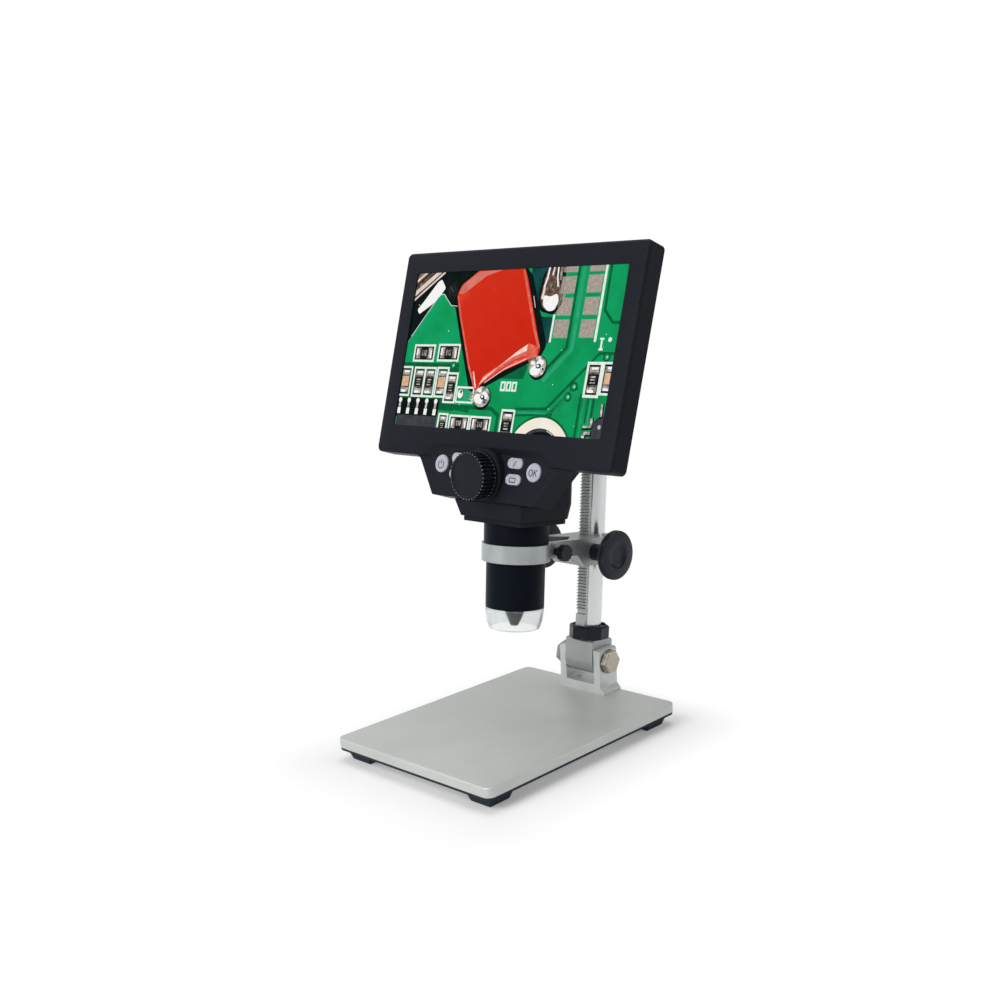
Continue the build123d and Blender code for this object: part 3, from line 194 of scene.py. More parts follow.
# two colours of the clouds and one of the specks, then sizes of clouds and grain and its depth in mm
plasticValues = ("dark", "light", "speck", "patch", "grain", "depth", "rough", "shine", "metal")
plasticLooks = {
    "housing_plastic": ((22, 24, 30), (29, 32, 39), (46, 49, 58), 25, 0.35, 0.010, 0.42, 0.05, 0),
    "wheel_plastic": ((19, 21, 27), (27, 30, 36), (58, 60, 66), 8, 0.3, 0.010, 0.34, 0.09, 0),
    "black_plastic": ((21, 26, 35), (30, 36, 46), (60, 66, 77), 6, 0.4, 0.012, 0.36, 0.18, 0),
    "black_rubber": ((32, 38, 50), (44, 51, 64), (70, 77, 88), 10, 0.5, 0.016, 0.6, 0.12, 0),
    "barrel_aluminium": ((6, 10, 19), (12, 17, 28), (26, 32, 44), 18, 0.22, 0.004, 0.38, 0.05, 0),
    "lens_black": ((12, 13, 16), (22, 24, 28), (36, 38, 42), 6, 0.3, 0.006, 0.45, 0.12, 0),
    "inner_plastic": ((120, 120, 116), (150, 150, 145), (170, 170, 165), 9, 0.4, 0.006, 0.5, 0.5, 0),
    "circuit_board": ((6, 66, 36), (16, 96, 54), (60, 130, 90), 5, 0.8, 0.010, 0.35, 0.5, 0),
    "white_board": ((214, 216, 214), (236, 238, 236), (244, 244, 240), 5, 0.6, 0.006, 0.4, 0.4, 0),
    "led_white": ((226, 220, 190), (246, 242, 222), (252, 250, 236), 2, 0.3, 0.004, 0.3, 0.5, 0),
    "sensor_chip": ((52, 54, 62), (84, 88, 98), (110, 112, 120), 2, 0.3, 0.003, 0.25, 0.6, 0.2),
    "battery_wrap": ((150, 152, 160), (176, 178, 186), (200, 202, 208), 15, 0.6, 0.010, 0.4, 0.5, 0.4),
    "key_grey": ((154, 157, 168), (180, 183, 194), (206, 208, 214), 3, 0.3, 0.008, 0.4, 0.25, 0),
    "keyPrint": ((40, 43, 54), (60, 63, 74), (84, 87, 96), 1, 0.2, 0.002, 0.5, 0.2, 0),
    # the tilt block's and the yoke's finishes are darker and lighter copies of cast_aluminium: the block's is
    # partly its own darker grey, partly painted shade; the yoke's lighter tone is painted light
    "blockAluminium": ((146, 151, 151), (170, 174, 174), (192, 194, 193), 9, 0.3, 0.018, 0.36, 0.4, 0.5),
    "yokeAluminium": ((192, 196, 195), (216, 219, 217), (228, 230, 228), 9, 0.3, 0.018, 0.36, 0.4, 0.4),
    "pilotSmoke": ((30, 35, 47), (42, 47, 60), (62, 68, 80), 1, 0.2, 0.002, 0.5, 0.03, 0),
    # painted glints: pale studs on the focus wheel's rib ends stand in for light caught there
    "ribTip": ((84, 89, 100), (150, 155, 166), (190, 194, 202), 4, 0.2, 0.002, 0.35, 0.4, 0),
    "plate_aluminium": ((184, 188, 184), (204, 207, 203), (220, 222, 218), 34, 0.3, 0.03, 0.42, 0.3, 0.4),
    "cast_aluminium": ((170, 175, 175), (198, 202, 201), (216, 218, 216), 9, 0.3, 0.018, 0.34, 0.4, 0.55),
}
# two colours, sizes of clouds and streaks in mm, how far the streaks are drawn out, their lean in degrees
metalValues = ("dark", "light", "patch", "grain", "stretch", "lean", "depth", "rough", "metal")
metalLooks = {
    "armAluminium": ((124, 130, 132), (196, 200, 199), 12, 6.5, (1, 1, 14), standLean, 0, 0.33, 0.55),
    "column_aluminium": ((196, 199, 200), (228, 230, 230), 30, 0.35, (1, 1, 60), standLean, 0.004,
                         0.22, 0.85),
    "rack_steel": ((162, 166, 165), (196, 200, 198), 12, 0.25, (12, 1, 1), standLean, 0.004, 0.36, 0.5),
    "screw_steel": ((112, 116, 118), (158, 162, 164), 2, 0.2, (1, 1, 5), 0, 0.003, 0.32, 0.8),
    "nickel": ((158, 150, 134), (192, 184, 168), 2.5, 0.2, (5, 1, 1), 0, 0.004, 0.3, 0.7),
    "shaft_steel": ((160, 160, 163), (196, 196, 200), 6, 0.2, (1, 8, 8), 0, 0.003, 0.28, 1.0),
    "brass": ((190, 158, 84), (220, 190, 112), 5, 0.2, (8, 1, 1), 0, 0.003, 0.3, 1.0),
    "lcd_frame": ((140, 141, 144), (170, 171, 174), 20, 0.4, (20, 1, 1), screenLean, 0.004, 0.35, 1.0),
}


def clearMoulding(name, look):
    # clear plastic and glass: soft flow lines from the moulding bend the light a little
    material, shader = newShader(name)
    place = shader.make("TexCoord", take="Object")
    drawn = shader.make("Mapping", {"vector_type": "TEXTURE"}, {
        "Vector": place, "Rotation": (math.radians(standLean), 0, 0), "Scale": (1, 1, look["flow"])})
    clouds = noise(shader, drawn, look["patch"], 2.0)
    return finished(material, shader, {
        "Base Color": clouds.mixed(linear(*look["dark"]), linear(*look["light"])),
        "Roughness": look["rough"] + look["haze"] * clouds,
        "Normal": relief(shader, clouds, look["depth"]),
        "Transmission Weight": look["clear"],
        "IOR": look["index"],
    })


clearLooks = {
    "clear_plastic": {"dark": (230, 233, 235), "light": (249, 251, 251), "patch": 2.2, "flow": 14,
                      "depth": 0.05, "rough": 0.1, "haze": 0.2, "clear": 0.95, "index": 1.2},
    "lens_glass": {"dark": (216, 226, 236), "light": (238, 244, 250), "patch": 3, "flow": 1, "depth": 0.0,
                   "rough": 0.02, "haze": 0.02, "clear": 0.95, "index": 1.52},
}

finishes = {}
for looks, names, recipe in ((plasticLooks, plasticValues, moulded), (metalLooks, metalValues, brushed)):
    for finishName, values in looks.items():
        finishes[finishName] = recipe(finishName, dict(zip(names, values)))
for finishName, look in clearLooks.items():
    finishes[finishName] = clearMoulding(finishName, look)
print("finishes mixed")


# directions and places that the frame gives

right = Vector((1, 0, 0))
headUp = Vector(joints["head_swivel"]["axis"]).normalized()
headBack = headUp.cross(right)
outOfScreen = -Vector(joints["ok_button_press"]["axis"]).normalized()
upScreen = outOfScreen.cross(right)


def reach(nodeName, direction):
    return max(vertex.co.dot(direction) for vertex in frame["nodes"][nodeName].data.vertices)


def middle(nodeName):
    low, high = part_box(nodeName)
    return (low + high) / 2


def facing(origin, across, up, out):
    # matrix of a place whose x, y and z run across, up and out
    return Matrix.Translation(origin) @ Matrix((across, up, out)).transposed().to_4x4()


def faceOf(nodeName, out, across, up):
    centre = middle(nodeName)
    return facing(centre + out * (reach(nodeName, out) - centre.dot(out)), across, up, out)


screenFace = faceOf("lcd_glass", outOfScreen, right, upScreen)
barrelAxis = facing(Vector(joints["head_swivel"]["pos_m"]), right, headBack, headUp)
driveMiddle = Vector(joints["height_knobs_turn"]["pos_m"])
wheelMiddle = Vector(joints["focus_wheel_turn"]["pos_m"])


# making pieces

# finishes other than the CAD slots; the tilt block and the yoke get a painted-shade and a painted-light copy of
# cast aluminium
otherFinish = {"led_board": "white_board", "tilt_nut": "screw_steel", "tilt_block": "blockAluminium",
               "carriage_arm": "armAluminium", "yoke": "yokeAluminium"}


def finishOf(nodeName):
    return otherFinish.get(nodeName, slotOf[nodeName])


def placed(name, work, body, finishName, turn=sharpAngle):
    mesh = bpy.data.meshes.new(name)
    work.to_mesh(mesh)
    work.free()
    mesh.shade_smooth()
    mesh.set_sharp_from_angle(angle=math.radians(turn))
    mesh.materials.append(finishes[finishName])
    piece = bpy.data.objects.new(name, mesh)
    bpy.context.scene.collection.objects.link(piece)
    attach(piece, body)
    return piece


def rounded(piece, edge):
    rounding = piece.modifiers.new("easedEdges", "BEVEL")
    rounding.width = edge * mm
    rounding.segments = 2
    rounding.limit_method = "ANGLE"
    rounding.angle_limit = math.radians(sharpAngle)
    rounding.harden_normals = True


# ends drawn longer or shorter than in CAD: the direction of the end, and how far it moves that way in mm
movedEnds = {"lens_tube": (-headUp, 2.1), "clamp_screw": (right, -3.5), "tilt_nut": (-right, -3.2),
             "tilt_bolt": (-right, -3.2)}
endDepth = 1.0
flatWithin = 0.5     # degrees between faces that still count as one flat face


def eased(nodeName, edge):
    # a CAD node's copy with its edges rounded over by this many mm
    work = bmesh.new()
    work.from_mesh(frame["nodes"][nodeName].data)
    bmesh.ops.remove_doubles(work, verts=work.verts, dist=mergeDistance)
    bmesh.ops.dissolve_limit(work, angle_limit=math.radians(flatWithin), verts=work.verts, edges=work.edges)
    if nodeName in movedEnds:
        outward, shift = movedEnds[nodeName]
        for point in work.verts:
            if point.co.dot(outward) > reach(nodeName, outward) - endDepth * mm:
                point.co += outward * shift * mm
    piece = placed(nodeName + "_dressed", work, bodyOf[nodeName], finishOf(nodeName))
    rounded(piece, edge)
    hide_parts(nodeName)


def spun(work, profile, steps, closed):
    # a profile of (radius, height) in mm, spun round the z axis; an open one starts and ends on the axis
    points = [work.verts.new((radius * mm, 0, height * mm)) for radius, height in profile]
    ends = points[1:] + points[:1] if closed else points[1:]
    edges = [work.edges.new(pair) for pair in zip(points, ends)]
    bmesh.ops.spin(work, geom=points + edges, cent=(0, 0, 0), axis=(0, 0, 1), angle=2 * math.pi,
                   steps=steps, use_merge=True)
    bmesh.ops.remove_doubles(work, verts=work.verts, dist=mergeDistance)
    bmesh.ops.recalc_face_normals(work, faces=work.faces)


def moved(work, matrix):
    bmesh.ops.transform(work, matrix=matrix, verts=work.verts)
    return work


# the picture on the screen: patches that glow with their own colour, shaded across the screen and mottled
glow = {"base": (0.001, 0.001, 0.001, 1), "rough": 0.26, "roughSpread": 0.06, "shine": 0.01}


def litFinish(name, look):
    material, shader = newShader(name)
    place = shader.make("TexCoord", take="Object")
    onGlass = shader.make("Mapping", {"vector_type": "TEXTURE"}, {
        "Vector": place, "Location": screenFace.translation, "Rotation": screenFace.to_euler()})
    across = shader.make("SeparateXYZ", None, {"Vector": onGlass}, "X")
    up = shader.make("SeparateXYZ", None, {"Vector": onGlass}, "Y")
    mottle = noise(shader, onGlass, look["patch"], 4.0)
    fallAcross, fallUp = look.get("fall", (0, 0))
    shade = 0.5 + fallAcross / mm * across + fallUp / mm * up + look["mottle"] * (mottle - 0.5)
    colour = shader.make("ValToRGB", {"stops": look["stops"]}, {"Fac": shade})
    return finished(material, shader, {
        "Base Color": glow["base"],
        "Roughness": glow["rough"] + glow["roughSpread"] * mottle,
        "Specular IOR Level": glow["shine"],
        "Emission Color": colour,
        "Emission Strength": 1.0,
    })


# colours along the shade, strength and size of the mottling, and the shade's fall across and up
pictureValues = ("stops", "mottle", "patch", "fall")
pictureLooks = {
    "lcd_glass": ([(0, (4, 124, 66)), (0.5, (10, 153, 90)), (1, (18, 166, 110))], 1.3, 20, (-0.001, 0.002)),
    "traceDark": ([(0, (0, 78, 42)), (1, (8, 112, 66))], 1.4, 5),
    "copperGreen": ([(0, (26, 140, 92)), (1, (52, 176, 128))], 1.4, 6),
    "tealShade": ([(0, (4, 40, 42)), (1, (18, 88, 84))], 1.8, 9),
    "padSilver": ([(0, (138, 127, 117)), (0.5, (165, 154, 143)), (1, (190, 181, 171))], 1.5, 1.6),
    "endSilver": ([(0, (84, 80, 76)), (0.5, (172, 168, 161)), (1, (232, 230, 224))], 2.2, 2.6),
    "printWhite": ([(0, (206, 222, 212)), (1, (246, 250, 244))], 1.6, 3),
    "chipBlack": ([(0, (10, 12, 14)), (0.6, (26, 29, 31)), (1, (62, 64, 64))], 1.6, 3),
    "chipGrey": ([(0, (40, 43, 47)), (1, (74, 77, 82))], 1.4, 4),
    "shadow": ([(0, (4, 9, 11)), (1, (10, 26, 24))], 1.6, 6),
    "partRed": ([(0, (176, 26, 10)), (0.4, (200, 36, 14)), (0.8, (207, 44, 22)), (1, (220, 66, 44))],
                0.5, 9, (-0.004, 0.006)),
    "partRedEdge": ([(0, (206, 62, 44)), (0.5, (224, 96, 78)), (1, (236, 146, 130))], 1.4, 4),
    "partSheen": ([(0, (200, 92, 76)), (1, (222, 136, 122))], 1.4, 6),
    "partShine": ([(0, (240, 168, 154)), (0.6, (248, 216, 206)), (1, (253, 244, 238))], 1.8, 3),
    "partTan": ([(0, (186, 146, 108)), (0.5, (214, 176, 136)), (1, (232, 200, 166))], 1.4, 2.6),
    "leadBrown": ([(0, (50, 34, 28)), (0.5, (98, 78, 66)), (1, (158, 138, 122))], 2.2, 3),
    "wirePale": ([(0, (206, 186, 172)), (1, (240, 226, 214))], 1.6, 4),
    "solderGrey": ([(0, (70, 66, 62)), (0.5, (168, 163, 156)), (1, (236, 233, 228))], 2.6, 3.2),
    "solderWhite": ([(0, (232, 232, 228)), (1, (255, 255, 255))], 1.4, 2),
    "ringCream": ([(0, (232, 226, 208)), (1, (246, 241, 230))], 1.4, 6),
}
for patchName, values in pictureLooks.items():
    finishes[patchName] = litFinish(patchName, dict(zip(pictureValues, values)))

# flat shapes are drawn in mm across and up from the screen's middle
picture = {"halfWidth": 78.18, "halfHeight": 43.88, "lift": 0.02, "layer": 0.02, "skin": 0.012,
           "flatAngle": 20, "seed": 7}


def levelOf(layer):
    return (picture["lift"] + picture["layer"] * layer) * mm


def flatPlace(x, y, turn, layer):
    middleOfShape = Matrix.Translation((x * mm, y * mm, levelOf(layer)))
    return middleOfShape @ Matrix.Rotation(math.radians(turn), 4, "Z")


def bar(work, x, y, width, height, turn=0.0, layer=0):
    # a flat rectangle about its middle
    place = flatPlace(x, y, turn, layer) @ Matrix.Diagonal((width * mm, height * mm, 1, 1))
    bmesh.ops.create_grid(work, x_segments=1, y_segments=1, size=0.5, matrix=place)


def disc(work, x, y, radius, layer=0, stretch=1.0, turn=0.0, steps=32):
    place = flatPlace(x, y, turn, layer) @ Matrix.Diagonal((1, stretch, 1, 1))
    bmesh.ops.create_circle(work, cap_ends=True, segments=steps, radius=radius * mm, matrix=place)


def patch(work, points, rounding=0.0, layer=0):
    # a flat shape through corner points, which may be rounded
    corners = [work.verts.new((x * mm, y * mm, levelOf(layer))) for x, y in points]
    work.faces.new(corners)
    if rounding:
        bmesh.ops.bevel(work, geom=corners, offset=rounding * mm, segments=4, profile=0.5, material=-1,
                        affect="VERTICES")


def stroke(work, points, width, layer=0):
    # straight runs of one width with round corners
    for (x1, y1), (x2, y2) in zip(points, points[1:]):
        bar(work, (x1 + x2) / 2, (y1 + y2) / 2, math.hypot(x2 - x1, y2 - y1), width,
            math.degrees(math.atan2(y2 - y1, x2 - x1)), layer)
    for x, y in points:
        disc(work, x, y, width / 2, layer, steps=16)


def arcPoints(x, y, radius, start, end, count, stretch=1.0):
    turns = [math.radians(start + (end - start) * step / (count - 1)) for step in range(count)]
    return [(x + radius * math.cos(angle), y + radius * stretch * math.sin(angle)) for angle in turns]


def frameLine(work, x, y, width, height, line, turn=0.0, layer=0):
    # a rectangle drawn as four thin bars
    spin = Matrix.Rotation(math.radians(turn), 2)
    for side in (-1, 1):
        for across, up, long, high in ((side * width / 2, 0, line, height + line),
                                       (0, side * height / 2, width + line, line)):
            shift = spin @ Vector((across, up))
            bar(work, x + shift.x, y + shift.y, long, high, turn, layer)


def laid(name, work, place, body, finishName):
    # gives flat work a thin skin and lays it on a face
    flat = bmesh.ops.extrude_face_region(work, geom=work.faces[:])
    raised = [part for part in flat["geom"] if isinstance(part, bmesh.types.BMVert)]
    bmesh.ops.translate(work, verts=raised, vec=(0, 0, picture["skin"] * mm))
    bmesh.ops.recalc_face_normals(work, faces=work.faces)
    return placed(name, moved(work, place), body, finishName, picture["flatAngle"])


def onScreen(name, work, finishName):
    # the picture is cut off where the window ends
    for edge, away in (((picture["halfWidth"], 0), (1, 0)), ((-picture["halfWidth"], 0), (-1, 0)),
                       ((0, picture["halfHeight"]), (0, 1)), ((0, -picture["halfHeight"]), (0, -1))):
        geometry = work.verts[:] + work.edges[:] + work.faces[:]
        bmesh.ops.bisect_plane(work, geom=geometry, plane_co=(edge[0] * mm, edge[1] * mm, 0),
                               plane_no=(away[0], away[1], 0), clear_outer=True)
    laid("picture_" + name, work, screenFace, "head", finishName)


# a small part's slabs, as shares of its length and width: paint, place, length, width and layer
chipLook = {
    "width": 0.5, "frameLength": 1.42, "frameWidth": 1.52,
    "slabs": [("shadow", 0, 0, 1.36, 1.4, 1),
              ("endSilver", -0.4, 0, 0.32, 1.06, 3), ("endSilver", 0.4, 0, 0.32, 1.06, 3),
              ("solderWhite", -0.5, 0.1, 0.12, 0.66, 4), ("solderWhite", 0.49, -0.08, 0.1, 0.74, 4),
              ("leadBrown", -0.29, 0, 0.07, 1.0, 4), ("leadBrown", 0.29, 0, 0.07, 1.0, 4)],
    "marks": [("endSilver", -0.13, 0.02, 0.06, 0.56, 6), ("endSilver", 0.0, 0.02, 0.05, 0.5, 6),
              ("endSilver", 0.12, 0.02, 0.07, 0.56, 6)],
}


def chipPart(paint, x, y, length, turn, body, line):
    # sits inside a printed frame, with bright ends, dull bands and plain marks on a black body
    spin = Matrix.Rotation(math.radians(turn), 2)
    across = length * chipLook["width"]
    frameLine(paint["printWhite"], x, y, length * chipLook["frameLength"], across * chipLook["frameWidth"],
              line, turn, 2)
    slabs = chipLook["slabs"] + [(body, 0, 0, 0.5, 1.0, 5)]
    if body == "chipBlack":
        slabs += chipLook["marks"]
    for name, along, off, long, high, layer in slabs:
        shift = spin @ Vector((along * length, off * across))
        bar(paint[name], x + shift.x, y + shift.y, long * length, high * across, turn, layer)


# bright patches and dark pits of a solder mound, as shares of its radius: paint, place, radius and layer
blobSpots = [("solderWhite", -0.28, -0.3, 0.6, 7), ("solderWhite", 0.3, 0.25, 0.42, 7),
             ("solderWhite", -0.5, 0.4, 0.24, 7), ("chipBlack", 0.12, 0.02, 0.3, 8),
             ("solderWhite", 0.06, 0.04, 0.15, 9), ("chipBlack", 0.62, -0.3, 0.12, 8)]
blobLook = {"shade": (0.6, -0.7, 1.06), "squash": 0.92, "spotSquash": 0.7}


def solderBlob(paint, x, y, radius, turn):
    spin = Matrix.Rotation(math.radians(turn), 2)
    shadeAcross, shadeUp, shadeSize = blobLook["shade"]
    disc(paint["shadow"], x + shadeAcross, y + shadeUp, radius * shadeSize, 5)
    disc(paint["solderGrey"], x, y, radius, 6, blobLook["squash"])
    for name, across, up, size, layer in blobSpots:
        shift = spin @ Vector((across * radius, up * radius))
        disc(paint[name], x + shift.x, y + shift.y, size * radius, layer, blobLook["spotSquash"], turn)


def paintShapes(paint, shapes):
    # draws each shape in its paint and on its layer, with its width or its corner rounding
    for draw, name, layer, size, points in shapes:
        draw(paint[name], points, size, layer)


def paintRuns(work, layer, runs):
    for width, points in runs:
        stroke(work, points, width, layer)


# runs of track, as width and points
tracks = {
    "traceDark": [
        (1.9, [(45, 46), (45, 2), (41, -2), (31, -11.5)]),
        (1.6, [(66, 46), (66.6, 21), (73, 14.8), (80, 14.8)]),
        (1.5, [(80, -0.8), (68, -0.8), (38, -30), (16, -31)]), (1.0, [(55, -18), (40, -33), (16, -34.5)]),
        (1.4, [(52, -23.4), (41, -34)]), (1.4, [(57, -19), (52, -16)]), (1.6, [(60.4, -22), (60.4, -46)]),
        (1.0, [(65.6, -24), (65.6, -36)]), (1.6, [(69.2, -24), (69.2, -34)]),
        (1.4, [(78.2, 30), (77.4, 46)]), (1.8, [(-80, -8.4), (-33, -8.4), (-34, -12)]),
        (2.2, [(-30, -31.5), (-2, -31.5), (4, -35), (4, -46)]), (3.0, [(-44, -32), (-30, -32), (-20, -33)])],
    "copperGreen": [
        (2.4, [(48.6, 46), (48.6, 1), (33, -15)]), (0.8, [(54, -19.5), (41, -32)]),
        (0.6, [(51, -24.4), (43, -32.4)]), (0.9, [(67.4, -25), (67.4, -38)]),
        (0.9, [(18, -32.6), (38, -32.6)]), (0.7, [(63, -24), (63, -44)])],
}
vias = {"middles": ((54.6, -18), (51.6, -23.4), (-37, -8.6), (73, -2.6)), "radius": 2.5, "ring": 1.4,
        "glint": 0.45, "shift": 0.3}
trackPatch = {"outline": [(-4, -15), (18, -15), (20, -8), (14, -4), (-4, -12)], "rounding": 0.6}


def paintTracks(paint):
    for name, runs in tracks.items():
        paintRuns(paint[name], 1, runs)
    patch(paint["traceDark"], trackPatch["outline"], trackPatch["rounding"], 1)
    for x, y in vias["middles"]:
        disc(paint["traceDark"], x, y, vias["radius"], 2)
        disc(paint["copperGreen"], x, y, vias["ring"], 3)
        disc(paint["printWhite"], x + vias["shift"], y, vias["glint"], 4)


# bare pads in two columns, as left and right edges with the tops and bottoms of each pad
pads = {"columns": ((34.2, 44.0, ((47, 41), (38.8, 30), (27.6, 18.6), (16.4, 7.0))),
                    (52.2, 61.8, ((47, 41), (39.2, 30.2), (27.8, 18.8), (16.4, 7.2)))),
        "rim": 0.7, "stub": (36.2, 28.8, 3.6, 4), "dot": (73.2, 6.2, 1.3)}
padPrint = [(1.6, [(63.3, 46), (63.4, 5.6)]), (1.4, [(32.8, 18.6), (32.7, 5.2)]),
            (1.2, [(68, 6.4), (68, 1.2)]), (1.0, [(67, 6.6), (69, 6.6)]), (1.0, [(67, 1.2), (69, 1.2)])]


def paintPads(paint):
    for left, far, rows in pads["columns"]:
        for top, low in rows:
            x, y, wide, high = (left + far) / 2, (top + low) / 2, far - left, top - low
            bar(paint["copperGreen"], x, y, wide + pads["rim"], high + pads["rim"], 0, 2)
            bar(paint["padSilver"], x, y, wide, high, 0, 3)
    bar(paint["padSilver"], *pads["stub"], 0, 3)
    paintRuns(paint["printWhite"], 4, padPrint)
    disc(paint["printWhite"], *pads["dot"], 4, steps=6)


# the board's rim, dark beyond it, with pale wires across the corner
rimShapes = [
    (patch, "shadow", 1, 0.8, [(-82, 48), (10, 48), (-36, 8), (-41, 23), (-47, 25.2), (-50.5, 28.6),
        (-53, 31.6), (-56.5, 32), (-77, 5.4), (-82, 2)]),
    (stroke, "copperGreen", 2, 1.2, [(-77.6, 4.6), (-56.6, 31.4)]),
    (stroke, "printWhite", 3, 0.35, [(-76, 7.6), (-57.4, 31.2), (-54, 31.6), (-50, 28), (-46.5, 25),
        (-41.6, 24.6)]),
    (patch, "leadBrown", 2, 0, [(-82, 46), (-62, 46), (-82, 30)]),
    (stroke, "wirePale", 3, 2.6, [(-80, 31.2), (-60, 44.4)]),
    (stroke, "wirePale", 3, 1.2, [(-79, 28.2), (-56, 44)]),
    (stroke, "wirePale", 3, 1.4, [(-78, 39.6), (-70, 45)]),
    (stroke, "chipBlack", 3, 0.8, [(-80, 35.6), (-66, 45)]),
    (stroke, "chipBlack", 4, 0.5, [(-79, 29.6), (-58, 44)]),
    (patch, "solderWhite", 5, 0.9, [(-74.4, 23), (-72.4, 20.4), (-62, 26.2), (-56.6, 31), (-53.4, 35),
        (-57.6, 40), (-60.6, 38.4), (-69.6, 28)]),
    (patch, "chipBlack", 3, 1.2, [(-52.6, 34), (-45.4, 39.6), (-43.4, 33), (-45, 27.4), (-48, 27),
        (-51, 31)]),
    (stroke, "chipGrey", 4, 0.8, [(-49, 35.4), (-46.6, 32.6)]),
]

# the coated block with a glossy lower lip
blockShapes = [
    (patch, "shadow", 2, 2, [(-45, 28), (-36, 44), (4, 48), (13, 40), (31, 3), (28, -3), (-14, -22),
        (-21, -23), (-33, 2)]),
    (patch, "tealShade", 1, 1.4, [(12, 48), (24, 48), (22, 37), (20.4, 24), (24, 18), (32, 18), (32, 4.4),
        (28.6, 3), (11, 36)]),
    (patch, "partRed", 3, 1.6, [(-43, 31), (-40.4, 36.4), (-27, 45), (5, 46), (9.4, 39), (27, 0.6),
        (25.4, -3.4), (19, -4.8), (0, -11.8), (-13, -18.6), (-16, -23), (-19.4, -19)]),
    (patch, "partSheen", 4, 1.2, [(-42.2, 31.4), (-39.8, 36.4), (-28, 43.6), (-10, 43.8), (-22, 41),
        (-37.4, 31.6)]),
    (stroke, "partRedEdge", 4, 1.3, [(-42, 30), (-37.2, 18), (-30, 3), (-24.4, -9), (-17.4, -20.6)]),
    (stroke, "partRedEdge", 4, 1.7, [(6, 43), (13.8, 26), (20.6, 11), (25.6, 2)]),
    (patch, "partRedEdge", 4, 0.6, [(-15.8, -21.6), (-12.4, -14.4), (0, -7.2), (12, 0.6), (18, 4.2), (25, 2),
        (25.4, -3), (19, -4.6), (0, -11.6), (-13, -18.6)]),
    (patch, "partShine", 5, 0.5, [(-14.4, -19), (-11.6, -15), (0, -8), (11, -0.2), (17.6, 3.4), (17.4, 0),
        (8, -3.4), (-2, -9.4)]),
    (stroke, "partRed", 6, 0.6, [(-12, -18), (0, -10.6), (10, -5), (18, -3)]),
    (stroke, "partShine", 6, 0.9, [(-20, -12), (-16.6, -20.4)]),
    (stroke, "partShine", 6, 0.4, [(16, 29), (18.4, 23)]),
    (stroke, "partShine", 6, 0.45, [(-10, -17.6), (4, -9.6), (18, -4.2)]),
    (patch, "leadBrown", 4, 0.6, [(19.6, -4.4), (24, -3.6), (23.4, -7.4), (20.6, -8)]),
]
leads = {"right": (27.0, -8.2, 6.1, 10), "left": (-10.6, -25.4, 6.2, -20), "strands": 3, "apart": 1.6,
         "start": (-20, -23.4), "end": (-14, -26), "width": 0.8}


def paintBlock(paint):
    paintShapes(paint, blockShapes)
    solderBlob(paint, *leads["right"])
    for strand in range(leads["strands"]):
        drop = leads["apart"] * strand
        ends = [(x, y - drop) for x, y in (leads["start"], leads["end"])]
        stroke(paint["solderGrey"], ends, leads["width"], 5)
    solderBlob(paint, *leads["left"])


# a soldered wire that comes in at the top
wireShapes = [
    (patch, "shadow", 3, 2, [(20.4, 40), (26, 48), (36, 48), (36.6, 24), (32, 18.8), (22, 21), (19.4, 27)]),
    (patch, "leadBrown", 5, 1.8, [(23.8, 46), (31.6, 46), (32.4, 38), (35.4, 28), (32.4, 20.6), (24, 22),
        (21, 27), (21.6, 36)]),
    (patch, "solderGrey", 6, 0.2, [(32, 46), (34.2, 46), (33.6, 37), (32.6, 37)]),
    (stroke, "solderWhite", 6, 1.1, [(24.4, 45), (23.8, 38.6), (22.6, 34)]),
    (stroke, "solderWhite", 6, 0.8, [(27.8, 45), (27.2, 40)]),
    (stroke, "solderWhite", 6, 0.9, [(30.4, 45), (30.8, 39), (32, 34)]),
    (stroke, "chipBlack", 6, 0.6, [(26, 45), (25.8, 40)]),
    (stroke, "chipBlack", 6, 0.6, [(29.2, 44), (29, 37), (28, 33)]),
    (stroke, "wirePale", 6, 1.6, [(22.8, 33), (22.4, 28)]),
    (patch, "solderWhite", 6, 1.6, [(23, 29.6), (28, 28.4), (32.6, 30.4), (34.4, 26), (32, 21.2),
        (27.6, 20.8), (23.4, 24)]),
]

# small parts along the left, the bottom and the right: middle, length, turn, body, printed frame's line
chips = [
    (-62.6, -2.0, 11.6, 0, "chipBlack", 1.2), (-42.4, -1.6, 11.6, 0, "chipBlack", 1.2),
    (-74.9, -18.3, 11.4, 90, "partTan", 1.2), (-63.6, -18.5, 11.4, 90, "chipBlack", 1.2),
    (-54.6, -18.5, 11.4, 90, "chipBlack", 1.2), (-44.4, -18.3, 11.4, 90, "partTan", 1.2),
    (-36.3, -21.2, 11.4, 90, "chipBlack", 1.2), (-38.4, -42.6, 9.2, 90, "chipBlack", 1.2),
    (-25.2, -40.6, 10.6, 0, "chipBlack", 1.2), (-8.6, -40.6, 10.6, 0, "chipBlack", 1.2),
    (11.4, -40.4, 11.8, 90, "chipBlack", 1.2), (66.4, -14.2, 11.8, 90, "chipBlack", 1.5),
    (76.4, -13.4, 11.0, 90, "partTan", 1.2),
]
chipShade = [(-80, -9), (-32, -9), (-31, -34), (-80, -34)]
openFrame = {"frame": (-24.0, -24.8, 13, 8.2, 1.1), "strip": (-22.6, -24.8, 5, 6.4),
             "discs": (("solderWhite", -27.6, -24.4, 2.0, 4, 1.2), ("chipBlack", -27.2, -23.2, 0.8, 5, 1.0))}


def paintChips(paint):
    patch(paint["traceDark"], chipShade, 1, 1)
    for chip in chips:
        chipPart(paint, *chip)
    frameLine(paint["printWhite"], *openFrame["frame"], 0, 3)
    bar(paint["copperGreen"], *openFrame["strip"], 0, 2)
    for name, *spot in openFrame["discs"]:
        disc(paint[name], *spot)


